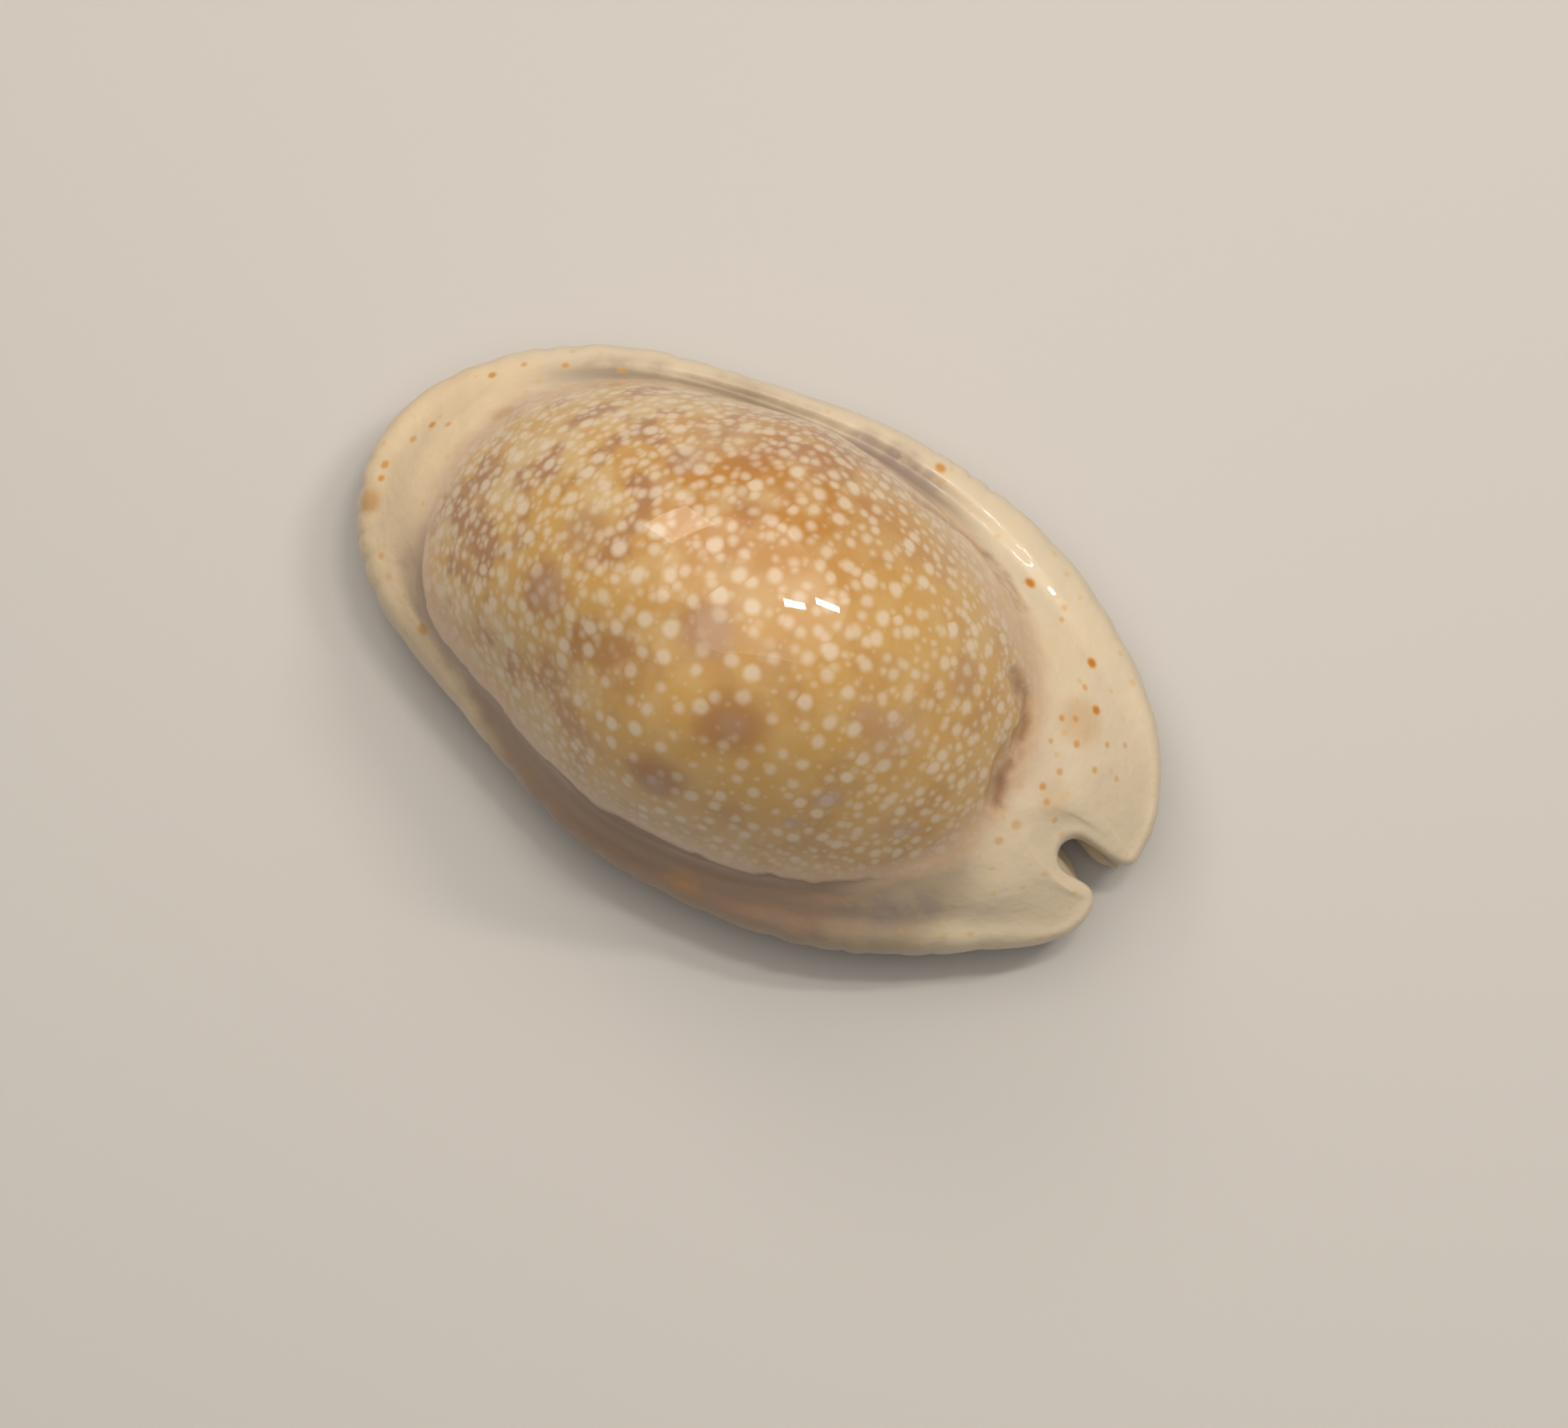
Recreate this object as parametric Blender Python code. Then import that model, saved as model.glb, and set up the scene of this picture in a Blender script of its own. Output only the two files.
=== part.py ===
"""Eroded cowrie: one hollow seashell that lies on its base.

The spire end with its deep notch points to -X, the front end to +X, the outer lip to -Y,
the columella side to +Y and the humped back to +Z. The origin is under the middle of the
shell, in the plane that it rests on.

The surface is one net. Its rows are rings round the shell: from the summit of the back down
to the callus, round the margin, in over the base, up through the toothed slit and along the
inside to the summit again. Its columns run across those rings, and their places are counted
round the slit from the root of the notch.
"""

import math

import bmesh
import bpy
import numpy as np

MM = 0.001

# Driving sizes of the whole shell, in millimetres
LENGTH = 42.16
WIDTH = 25.2
HEIGHT = 20.0
WALL = 1.3

# Columns round the slit: four for each tooth, the rest round the two ends of the slit
COLUMNS_PER_TOOTH = 4
OUTER_TEETH = 16
INNER_TEETH = 15
NOTCH_COLUMNS = 16
CANAL_COLUMNS = 10
OUTER_START = NOTCH_COLUMNS // 2
CANAL_START = OUTER_START + OUTER_TEETH * COLUMNS_PER_TOOTH
INNER_START = CANAL_START + CANAL_COLUMNS
NOTCH_START = INNER_START + INNER_TEETH * COLUMNS_PER_TOOTH
COLUMNS = NOTCH_START + NOTCH_COLUMNS // 2

# Rows from the summit to the dome's foot, between the rings below it, and inside the dome
DOME_ROWS = 8
RING_ROWS = (1, 1, 1, 1, 1, 1, 2, 2, 1, 1, 1, 1, 2, 2)
VAULT_ROWS = 5

# Direction of a column on the margin, in degrees from the front, at a few places round the slit
PLACES = (0, 8, 16, 28, 40, 52, 64, 72, 77, 82, 90, 101, 112, 123, 134, 142, 150)
TURNS = (171, 183, 207, 240, 268, 297, 333, 362, 371, 380, 399, 428, 453, 478, 505, 520, 531)

# Margin seen from above: humps of width added to half an ellipse, as height, centre, reach
OUTER_SWELLS = ((-0.55, 5.5, 9.0), (0.22, -10.0, 8.0))
INNER_SWELLS = ((-1.35, 12.0, 11.0), (0.25, -8.0, 8.0), (0.9, -20.2, 4.0))
SWELL_FADE = 1.2

# Sizes that change round the shell: a level, then humps as height, direction, reach in degrees
MARGIN_Z = (3.3, ((0.6, 270, 60), (0.3, 90, 60)))
FOOT_Z = (6.9, ((2.0, 180, 80), (1.2, 0, 70), (0.7, 270, 60)))
RIM_RISE = (0.0, ((0.5, 270, 85), (0.15, 40, 40)))
GROOVE_RISE = (0.1, ((-0.6, 270, 88), (-0.3, 40, 45), (0.2, 180, 50)))

# Callus between the margin and the dome: how fast it climbs, and how far its edge is rounded
CALLUS_POWER = 0.65
EDGE_SHARE = 0.5
EDGE_WIDTH = 4.5
EDGE_HEIGHT = 0.72
EDGE_INSET = 0.29

# Notch at the spire end: an arc at its root, two straight walls and a round lobe on each side
NOTCH_CENTRE = (-18.3, 2.1)
NOTCH_RADIUS = 0.85
NOTCH_EDGE = 0.6
NOTCH_FAN = 11
FAN_FADE = 5
NOTCH_CLIMB = 0.75
NOTCH_INSET = 0.35
NOTCH_WALL_INSET = 0.08
NOTCH_ARC = 0.75
NOTCH_THICKNESS = 0.9
NOTCH_LIP_CLIMB = 0.7
LOBE_RADIUS = 0.85
LOBE_FADE = 3.5
OUTER_LOBE_X = -20.22
INNER_LOBE_X = -19.3

# Canal at the front end: a slight dent in the margin over the end of the slit
CANAL_Y = 2.4
CANAL_DENT = 0.15
CANAL_REACH = 0.5
CANAL_RISE = 1.3

# Dome: its foot seen from above, the place of its summit and the bulge of its four sides
FOOT_CENTRE = (1.35, 0.4)
FOOT_REACH = (15.3, 10.65)
FOOT_POWER = 2.25
FOOT_SOFTNESS = 24
LEAST_FLANGE = 1.25
SUMMIT = (-0.8, 0.3)
BACK_STEEPNESS = 0.80
FRONT_STEEPNESS = 0.70
SIDE_STEEPNESS = 0.996
SIDE_REACH = 0.75
END_POWERS = (2.1, 2.0)
SIDE_POWERS = (2.2, 2.9)
ROW_BOW = math.radians(76)
LEAST_STEP = 0.05

# Between which rings the teeth and grooves rise and fall: 4 is the margin, 8 the edge of the
# lip, 10 the lip itself and 12 the throat
TOOTH_RISE = (8, 9.5)
TOOTH_FALL = (10.5, 12)
OUTER_GROOVE_RISE = (4.3, 8.3)
INNER_GROOVE_RISE = (7.3, 8.2)
GROOVE_FALL = (9.5, 11)

# Slit along the base, its teeth and the grooves between them
SLIT_OUTER = (-20.35, 19.9)
SLIT_INNER = (-19.55, 19.5)
SLIT_MIDDLE_Y = -1.7
SLIT_REACH = 19.6
SLIT_BEND = 2.8
SLIT_GAP = 1.5
SLIT_SWELL = (0.35, 12.0, 9.0)
SLIT_FLARE = 0.2
SLIT_FLARE_FROM = 14.0
SLIT_FLARE_TO = 19.0
LIP = 0.6
LIP_SHARE = 0.22
TOOTH = 0.36
GROOVE = 0.4
TOOTH_END = 0.04

# Base: its curve, where it lies on the table, and how it lifts towards the two ends
UNDER_SHARE = 0.38
UNDER_HEIGHT = 0.28
BASE_SHARE = 0.5
BASE_REACH = 10.0
BASE_CURVE = 0.3
OUTER_SEAT = 0.46
INNER_SEAT = 0.53
END_LIFT = 1.1
END_LIFT_FROM = 8.0
END_LIFT_TO = 21.5
END_LIFT_POWER = 1.4

# Where the margin and the slit's lip are this close, the base turns into one rounded edge
LEAST_ROOM = 0.6
FULL_ROOM = 3.2
EDGE_HEIGHTS = (0.25, 0.5, 0.65, 0.8, 0.92)

# Cavity: the height of its floor and how far it reaches to the two ends of the slit
FLOOR = 3.0
CAVITY_BACK = 14.2
CAVITY_FRONT = 15.8
CAVITY_SHARPNESS = 6
THROAT_GAP = 0.95
NOTCH_ROOF = 0.9
CANAL_ROOF = 0.6
VAULT_DROP = 0.2
CELLAR_SHARE = 0.78
CELLAR_RISE = 0.4
CELLAR_NOTCH_RISE = 1.6
CELLAR_CANAL_RISE = 1.2

SHELL_COLOUR = (0.80, 0.68, 0.50, 1.0)
SHELL_ROUGHNESS = 0.22


def hill(value, height, centre, reach):
    """A smooth hump of the given height that ends at reach on both sides of its centre."""
    distance = np.clip(np.abs(value - centre) / reach, 0, 1)
    return height * np.cos(distance * math.pi / 2) ** 2


def ease(value, start=0.0, end=1.0):
    """A smooth step from 0 at start to 1 at end."""
    part = np.clip((value - start) / (end - start), 0, 1)
    return part * part * (3 - 2 * part)


def mix(first, second, share):
    """The first value where share is 0 and the second where it is 1."""
    return first + (second - first) * share


def around(value):
    """Degrees brought to between -180 and 180."""
    return (value + 180) % 360 - 180


def smooth_steps(places, values, wanted):
    """Values of a smooth curve through a few steps that repeat after a full turn."""
    first = np.array((places[-2] - places[-1], *places, places[-1] + places[1]), float)
    second = np.array((values[-2] - 360, *values, values[1] + 360), float)
    slope = (second[2:] - second[:-2]) / (first[2:] - first[:-2])
    index = np.clip(np.searchsorted(places, wanted, side="right") - 1, 0, len(places) - 2)
    step = first[index + 2] - first[index + 1]
    part = (wanted - first[index + 1]) / step
    rise = second[index + 2] - second[index + 1]
    bend = part * (1 - part) * step
    curve = second[index + 1] + rise * part * part * (3 - 2 * part)
    return curve + bend * ((1 - part) * slope[index] - part * slope[index + 1])


def point(x, y, z):
    """Points from their coordinates."""
    return np.stack(np.broadcast_arrays(x, y, z), axis=-1).astype(float)


def outward(ring):
    """Unit vectors that point out of a ring, seen from above."""
    along = np.roll(ring, -1, axis=0)[:, :2] - np.roll(ring, 1, axis=0)[:, :2]
    across = np.stack((-along[:, 1], along[:, 0]), axis=-1)
    return -across / np.linalg.norm(across, axis=1, keepdims=True)


def shifted(ring, direction, distance, height):
    """A ring moved sideways by a distance along a direction, at a new height."""
    moved = ring[:, :2] + direction * np.reshape(distance, (-1, 1))
    return point(moved[:, 0], moved[:, 1], height)


class Round:
    """Where the columns stand on their way round the slit."""

    def __init__(self, fineness):
        self.place = np.arange(COLUMNS * fineness) / fineness
        turn = np.where(self.place > NOTCH_START, self.place - COLUMNS, self.place)
        self.side = np.where((turn < 0) | (turn > CANAL_START + CANAL_COLUMNS / 2), 1.0, -1.0)
        self.notch = np.clip(np.abs(turn) / (NOTCH_COLUMNS / 2), 0, 1)
        self.canal = np.clip((turn - CANAL_START) / CANAL_COLUMNS, 0, 1)
        self.in_notch = self.notch < 1
        self.in_canal = (self.canal > 0) & (self.canal < 1)
        outer = (turn - OUTER_START) / (CANAL_START - OUTER_START)
        inner = (NOTCH_START - self.place) / (NOTCH_START - INNER_START)
        self.along = np.clip(np.where(self.side < 0, outer, inner), 0, 1)
        self.root = 1 - self.notch
        self.away = np.minimum(self.place, COLUMNS - self.place) / (NOTCH_COLUMNS / 2)
        self.lobe = 1 - ease(self.away, 1, LOBE_FADE)
        self.mouth = np.where(self.in_canal, 1 - np.abs(2 * self.canal - 1), 0)
        self.degrees = smooth_steps(PLACES, TURNS, self.place)
        self.angle = np.radians(self.degrees)

    def near(self, degrees, reach):
        """1 for columns in the given direction, falling to 0 at reach on both sides."""
        return hill(around(self.degrees - degrees), 1.0, 0.0, reach)


def margin_half_width(x, side):
    """Half width of the whole margin at x, on the outer lip's side or the columella's."""
    ellipse = WIDTH / 2 * np.sqrt(np.clip(1 - (2 * x / LENGTH) ** 2, 0, 1))
    outer = sum(hill(x, *swell) for swell in OUTER_SWELLS)
    inner = sum(hill(x, *swell) for swell in INNER_SWELLS)
    return ellipse + np.where(side < 0, outer, inner) * ease(LENGTH / 2 - np.abs(x), 0, SWELL_FADE)


def notch_walk(distance, side, end):
    """The notch's edge seen from above, walked from its root to a lobe and on to an end point."""
    lobe_x = OUTER_LOBE_X if side < 0 else INNER_LOBE_X
    corner = NOTCH_RADIUS * math.pi / 2
    wall = NOTCH_CENTRE[0] - lobe_x
    lobe = LOBE_RADIUS * math.pi / 2
    lobe_y = NOTCH_RADIUS + LOBE_RADIUS
    last = math.hypot(end[0] - (lobe_x - LOBE_RADIUS), abs(end[1] - NOTCH_CENTRE[1]) - lobe_y)
    walked = distance * (corner + wall + lobe + last)
    turn = np.clip(walked / corner, 0, 1) * math.pi / 2
    x = NOTCH_CENTRE[0] + NOTCH_RADIUS * np.cos(turn)
    y = NOTCH_RADIUS * np.sin(turn)
    x = x - np.clip(walked - corner, 0, wall)
    bend = np.clip((walked - corner - wall) / lobe, 0, 1) * math.pi / 2
    x = x - LOBE_RADIUS * np.sin(bend)
    y = y + LOBE_RADIUS * (1 - np.cos(bend))
    rest = np.clip((walked - corner - wall - lobe) / last, 0, 1)
    x = mix(x, end[0], rest ** 2)
    y = mix(y, abs(end[1] - NOTCH_CENTRE[1]), rest)
    return x, NOTCH_CENTRE[1] + side * y


def by_direction(turn, size):
    """A size that changes round the shell."""
    level, humps = size
    return level + sum(height * turn.near(direction, reach) for height, direction, reach in humps)


def margin_line(turn):
    """The margin seen from above, with its notch and dent, and the same line without them."""
    x = LENGTH / 2 * np.cos(turn.angle)
    half = np.where(np.sin(turn.angle) < 0, -1.0, 1.0)
    whole = point(x, half * margin_half_width(x, half), 0)
    line = whole.copy()
    line[:, 0] -= CANAL_DENT * ease(turn.mouth)
    for side in (-1, 1):
        mine = turn.in_notch & (turn.side == side)
        last = np.argmin(np.abs(turn.place - (OUTER_START if side < 0 else NOTCH_START)))
        line[mine, 0], line[mine, 1] = notch_walk(turn.notch[mine], side, whole[last])
    return line, whole


def bearing(ring):
    """Direction in degrees and distance of points from the middle of the dome's foot."""
    away = ring[:, :2] - FOOT_CENTRE
    return np.degrees(np.arctan2(away[:, 1], away[:, 0])), np.linalg.norm(away, axis=1)


def foot_ring(turn, whole):
    """The foot of the dome, where the callus laps over it."""
    towards, length = bearing(whole)
    fan = NOTCH_FAN * ease(turn.away) * (1 - ease(turn.away, 1, FAN_FADE))
    wanted = towards - turn.side * fan
    most = np.interp(wanted, towards, length, period=360) - LEAST_FLANGE
    height = np.interp(wanted, towards, by_direction(turn, FOOT_Z), period=360)
    angle = np.radians(wanted)
    across = np.abs(np.stack((np.cos(angle), np.sin(angle)), axis=1)) / FOOT_REACH
    free = np.sum(across ** FOOT_POWER, axis=1) ** (-1 / FOOT_POWER)
    reach = (free ** -FOOT_SOFTNESS + most ** -FOOT_SOFTNESS) ** (-1 / FOOT_SOFTNESS)
    return point(FOOT_CENTRE[0] + reach * np.cos(angle), FOOT_CENTRE[1] + reach * np.sin(angle), height)


class Callus:
    """The thick edge from the margin up to the dome's foot."""

    def __init__(self, turn):
        self.turn = turn
        self.line, self.whole = margin_line(turn)
        self.away = outward(self.line)
        self.foot = foot_ring(turn, self.whole)
        self.edge = by_direction(turn, MARGIN_Z)
        self.bearing, self.reach = bearing(self.whole)
        self.foot_bearing, self.foot_reach = bearing(self.foot)

    def height(self, place):
        """Height of the callus at places seen from above, as if the notch were filled."""
        towards, reach = bearing(place)
        far = np.interp(towards, self.bearing, self.reach, period=360)
        low = np.interp(towards, self.bearing, self.edge, period=360)
        near = np.interp(towards, self.foot_bearing, self.foot_reach, period=360)
        high = np.interp(towards, self.foot_bearing, self.foot[:, 2], period=360)
        share = np.clip((far - reach) / (far - near), 0, 1)
        return mix(low, high, share ** CALLUS_POWER)

    def margin(self):
        """The outermost ring."""
        height = mix(self.edge, self.height(self.line), NOTCH_CLIMB)
        return point(self.line[:, 0], self.line[:, 1], height)

    def shoulder(self, margin):
        """The ring where the rounded edge of the callus turns into its upper face."""
        width = self.reach - self.foot_reach
        inset = EDGE_SHARE * width / np.sqrt(1 + (width / EDGE_WIDTH) ** 2)
        inset = mix(inset, NOTCH_EDGE, self.turn.lobe)
        ring = shifted(margin, -self.away, inset, 0)
        ring[:, 2] = self.height(ring) + by_direction(self.turn, RIM_RISE)
        return ring

    def rings(self):
        """The rings from the foot of the dome to the margin."""
        margin = self.margin()
        shoulder = self.shoulder(margin)
        flange = mix(self.foot, shoulder, 0.5)
        flange[:, 2] = self.height(flange) + by_direction(self.turn, GROOVE_RISE)
        corner = mix(margin, shoulder, EDGE_INSET)
        corner[:, 2] = mix(margin[:, 2], shoulder[:, 2], EDGE_HEIGHT)
        return self.foot, flange, shoulder, corner, margin


def slit_middle(x):
    """The slit's middle line at x."""
    end = np.where(x < 0, NOTCH_CENTRE[1], CANAL_Y)
    return mix(SLIT_MIDDLE_Y, end, np.minimum(np.abs(x) / SLIT_REACH, 1) ** SLIT_BEND)


def slit_half_gap(x):
    """Half the slit's width at x, between the grooves."""
    return (SLIT_GAP + hill(x, *SLIT_SWELL) + SLIT_FLARE * ease(-x, SLIT_FLARE_FROM, SLIT_FLARE_TO)) / 2


def base_height(x):
    """How far the base lifts off the table at x, towards the two ends."""
    return END_LIFT * ease(np.abs(x), END_LIFT_FROM, END_LIFT_TO) ** END_LIFT_POWER


def rim_ring(turn, margin, away):
    """The lip of the slit, which climbs to the notch's root and to the canal's mouth."""
    outer = mix(*SLIT_OUTER, turn.along)
    inner = mix(*SLIT_INNER, turn.along)
    x = np.where(turn.side < 0, outer, inner)
    y = slit_middle(x) + turn.side * slit_half_gap(x)
    mouth = ease(turn.mouth)
    half = slit_half_gap(SLIT_OUTER[1])
    y = np.where(turn.in_canal, CANAL_Y + half * np.sin((turn.canal - 0.5) * math.pi), y)
    slit = point(x + CANAL_REACH * mouth, y, base_height(x) + LIP + CANAL_RISE * mouth)
    inset = NOTCH_WALL_INSET + NOTCH_INSET * ease(turn.root, NOTCH_ARC, 1)
    edge = shifted(margin, -away, inset, 0)
    edge[:, 0] = np.maximum(edge[:, 0], slit[:, 0])
    most = NOTCH_RADIUS + NOTCH_INSET * turn.root
    edge[:, 1] = NOTCH_CENTRE[1] + np.clip(edge[:, 1] - NOTCH_CENTRE[1], -most, most)
    ring = mix(slit, edge, turn.in_notch[:, None])
    roof = margin[:, 2] - NOTCH_THICKNESS
    ring[:, 2] = mix(slit[:, 2], roof, ease(turn.root, 0, NOTCH_LIP_CLIMB))
    return ring


def throat_ring(turn, rim):
    """The top of the slit's wall, where it opens into the cavity."""
    reach = np.where(rim[:, 0] < 0, CAVITY_BACK, CAVITY_FRONT)
    notch_x = np.where(turn.side < 0, SLIT_OUTER[0], SLIT_INNER[0])
    flat_x = np.where(turn.in_notch, notch_x, rim[:, 0])
    over = 1 + (np.abs(flat_x) / reach) ** CAVITY_SHARPNESS
    x = flat_x / over ** (1 / CAVITY_SHARPNESS)
    sideways = np.where(turn.in_notch, np.sin(turn.notch * math.pi / 2), 1.0)
    sideways = np.where(turn.in_canal, np.abs(np.sin((turn.canal - 0.5) * math.pi)), sideways)
    y = slit_middle(x) + turn.side * sideways * slit_half_gap(x) * THROAT_GAP
    return point(x, y, FLOOR + NOTCH_ROOF * ease(turn.root) + CANAL_ROOF * ease(turn.mouth))


class Base:
    """The underside from the margin in to the slit's lip."""

    def __init__(self, turn, margin, rim):
        self.turn = turn
        self.margin = margin
        self.rim = rim
        across = rim[:, :2] - margin[:, :2]
        self.room = np.linalg.norm(across, axis=1)
        self.inward = across / np.maximum(self.room, MM)[:, None]
        self.free = ease(self.room, LEAST_ROOM, FULL_ROOM)

    def level(self, share, flat):
        """Heights: flat where there is room, and else a share of the way from margin to lip."""
        return mix(mix(self.margin[:, 2], self.rim[:, 2], share), flat, self.free)

    def rings(self):
        """The rings after the margin, up to the bend of the lip."""
        lift = base_height(self.rim[:, 0])
        inset = BASE_SHARE * self.room / np.sqrt(1 + (self.room / BASE_REACH) ** 2)
        seat = np.where(self.turn.side < 0, OUTER_SEAT, INNER_SEAT) * (self.room - inset)
        lip = LIP_SHARE * self.room
        lip = lip / np.sqrt(1 + (lip / LIP) ** 2)
        flat = (
            UNDER_HEIGHT * self.margin[:, 2],
            base_height(self.margin[:, 0]) + BASE_CURVE,
            lift,
            lift,
            lift + EDGE_INSET * LIP,
        )
        heights = [self.level(share, height) for share, height in zip(EDGE_HEIGHTS, flat)]
        return (
            shifted(self.margin, self.inward, UNDER_SHARE * inset, heights[0]),
            shifted(self.margin, self.inward, inset, heights[1]),
            shifted(self.rim, -self.inward, seat, heights[2]),
            shifted(self.rim, -self.inward, lip, heights[3]),
            shifted(self.rim, -self.inward, EDGE_INSET * lip, heights[4]),
        )


def rings(turn):
    """The rings of the net from the dome's foot to the vault's foot inside."""
    callus = Callus(turn)
    upper = callus.rings()
    foot = callus.foot
    margin = upper[-1]
    rim = rim_ring(turn, margin, callus.away)
    throat = throat_ring(turn, rim)
    vault = shifted(foot, -outward(foot), WALL, foot[:, 2] - VAULT_DROP)
    cellar = mix(throat, vault, CELLAR_SHARE)
    rise = CELLAR_NOTCH_RISE * ease(turn.root) + CELLAR_CANAL_RISE * ease(turn.mouth)
    cellar[:, 2] = FLOOR + CELLAR_RISE + rise
    base = Base(turn, margin, rim)
    return (*upper, *base.rings(), rim, mix(rim, throat, 0.5), throat, cellar, vault)


def dome(foot, bulge, share, top):
    """A row of the dome: share is 0 at the summit and 1 at the foot."""
    steep, power, root = bulge
    plan = mix(np.array(SUMMIT), foot[:, :2], share)
    level = (1 - steep ** power) ** (1 / root)
    centre = (foot[:, 2] - top * level) / (1 - level)
    rise = (1 - (steep * share) ** power) ** (1 / root)
    return point(plan[:, 0], plan[:, 1], centre + (top - centre) * rise)


def dome_bulge(foot):
    """How near to upright the dome's foot is, where 1 is upright, and two powers of its curve."""
    angle = np.radians(bearing(foot)[0])
    ends = mix(BACK_STEEPNESS, FRONT_STEEPNESS, (np.cos(angle) + 1) / 2)
    sideways = np.sin(angle) ** 2
    steep = mix(ends, SIDE_STEEPNESS, sideways ** SIDE_REACH)
    powers = [mix(end, side, sideways) for end, side in zip(END_POWERS, SIDE_POWERS)]
    return steep, *powers


def between(before, start, end, after, part):
    """A point on the smooth curve through four points, between the middle two."""
    first = np.maximum(np.linalg.norm(start - before, axis=1), LEAST_STEP)[:, None] ** 0.5
    second = np.maximum(np.linalg.norm(end - start, axis=1), LEAST_STEP)[:, None] ** 0.5
    third = np.maximum(np.linalg.norm(after - end, axis=1), LEAST_STEP)[:, None] ** 0.5
    leave = (start - before) / first - (end - before) / (first + second) + (end - start) / second
    reach = (end - start) / second - (after - start) / (second + third) + (after - end) / third
    leave = leave * second
    reach = reach * second
    curve = mix(start, end, part * part * (3 - 2 * part))
    return curve + part * (1 - part) * ((1 - part) * leave - part * reach)


def teeth(turn):
    """How far a column is a tooth's crest, and how far the groove between two teeth."""
    outer = (turn.place - OUTER_START) / COLUMNS_PER_TOOTH
    inner = (turn.place - INNER_START) / COLUMNS_PER_TOOTH
    wave = 0.5 - 0.5 * np.cos(2 * math.pi * np.where(turn.side < 0, outer, inner))
    ends = ease(turn.along, 0, TOOTH_END) * ease(1 - turn.along, 0, TOOTH_END)
    ends = np.where(turn.in_notch | turn.in_canal, 0.0, ends)
    return wave * ends, (1 - wave) * ends


def add_teeth(row, ring, turn):
    """Raise the teeth on a row, which lies on a ring or part of the way to the next one."""
    crest, groove = teeth(turn)
    lip = ease(ring, *TOOTH_RISE) * (1 - ease(ring, *TOOTH_FALL))
    cut = np.where(turn.side < 0, ease(ring, *OUTER_GROOVE_RISE), ease(ring, *INNER_GROOVE_RISE))
    row[:, 1] -= turn.side * TOOTH * crest * lip
    row[:, 2] += GROOVE * groove * cut * (1 - ease(ring, *GROOVE_FALL))
    return row


def net(fineness=1, row_scale=1):
    """All rows of the net between its two summits, as an array of rows, columns and xyz."""
    turn = Round(fineness)
    shape = rings(turn)
    bulge = dome_bulge(shape[0])
    rows = []
    for step in range(1, DOME_ROWS * row_scale + 1):
        share = math.sin(step / (DOME_ROWS * row_scale) * ROW_BOW) / math.sin(ROW_BOW)
        rows.append(dome(shape[0], bulge, share, HEIGHT))
    for index, count in enumerate(RING_ROWS):
        before = shape[index - 1] if index else 2 * shape[0] - shape[1]
        after = shape[min(index + 2, len(shape) - 1)]
        for step in range(1, count * row_scale + 1):
            part = step / (count * row_scale)
            row = between(before, shape[index], shape[index + 1], after, part)
            row = add_teeth(row, index + part, turn)
            row[:, 2] = np.maximum(row[:, 2], 0)
            rows.append(row)
    for step in range(1, VAULT_ROWS * row_scale):
        share = math.sin((1 - step / (VAULT_ROWS * row_scale)) * ROW_BOW) / math.sin(ROW_BOW)
        rows.append(dome(shape[-1], bulge, share, HEIGHT - WALL))
    return np.array(rows)


def shell_mesh(name):
    """A sphere whose points are moved on to the shell's net."""
    rows = net()
    low = rows.reshape(-1, 3).min(axis=0)
    high = rows.reshape(-1, 3).max(axis=0)
    centre = np.array(((low[0] + high[0]) / 2, (low[1] + high[1]) / 2, 0))
    ball = bmesh.new()
    bmesh.ops.create_uvsphere(ball, u_segments=COLUMNS, v_segments=len(rows) + 1, radius=1)
    for vertex in ball.verts:
        x, y, z = vertex.co
        row = round(math.acos(max(-1, min(1, z))) / math.pi * (len(rows) + 1))
        if row in (0, len(rows) + 1):
            top = HEIGHT if row == 0 else HEIGHT - WALL
            spot = np.array((*SUMMIT, top))
        else:
            column = round(math.atan2(y, x) / (2 * math.pi) * COLUMNS) % COLUMNS
            spot = rows[row - 1, column]
        vertex.co = (spot - centre) * MM
    bmesh.ops.triangulate(ball, faces=ball.faces)
    mesh = bpy.data.meshes.new(name)
    ball.to_mesh(mesh)
    ball.free()
    mesh.shade_smooth()
    return mesh


def shell_material():
    """Glossy shell: the mean of its tan back and cream margin."""
    material = bpy.data.materials.new("shell")
    material.use_nodes = True
    surface = material.node_tree.nodes["Principled BSDF"]
    surface.inputs["Base Color"].default_value = SHELL_COLOUR
    surface.inputs["Roughness"].default_value = SHELL_ROUGHNESS
    surface.inputs["Metallic"].default_value = 0.0
    return material


def clear_scene():
    """Remove what the scene already holds."""
    for item in list(bpy.data.objects):
        bpy.data.objects.remove(item, do_unlink=True)


def main():
    """Build the shell in a collection of its own."""
    clear_scene()
    collection = bpy.data.collections.new("eroded_cowrie")
    bpy.context.scene.collection.children.link(collection)
    shell = bpy.data.objects.new("shell", shell_mesh("shell"))
    shell.data.materials.append(shell_material())
    collection.objects.link(shell)


if __name__ == "__main__":
    main()
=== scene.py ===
"""Eroded cowrie: the glossy spotted shell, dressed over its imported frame.

The spire end with its deep notch points to -X, the front end to +X, the outer lip to -Y,
the columella side to +Y and the humped back to +Z. Shapes are worked out in millimetres.
"""

import logging
import math
from dataclasses import dataclass, field
from enum import Enum

import bpy
import numpy as np
from mathutils import Matrix, Vector, noise


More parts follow.
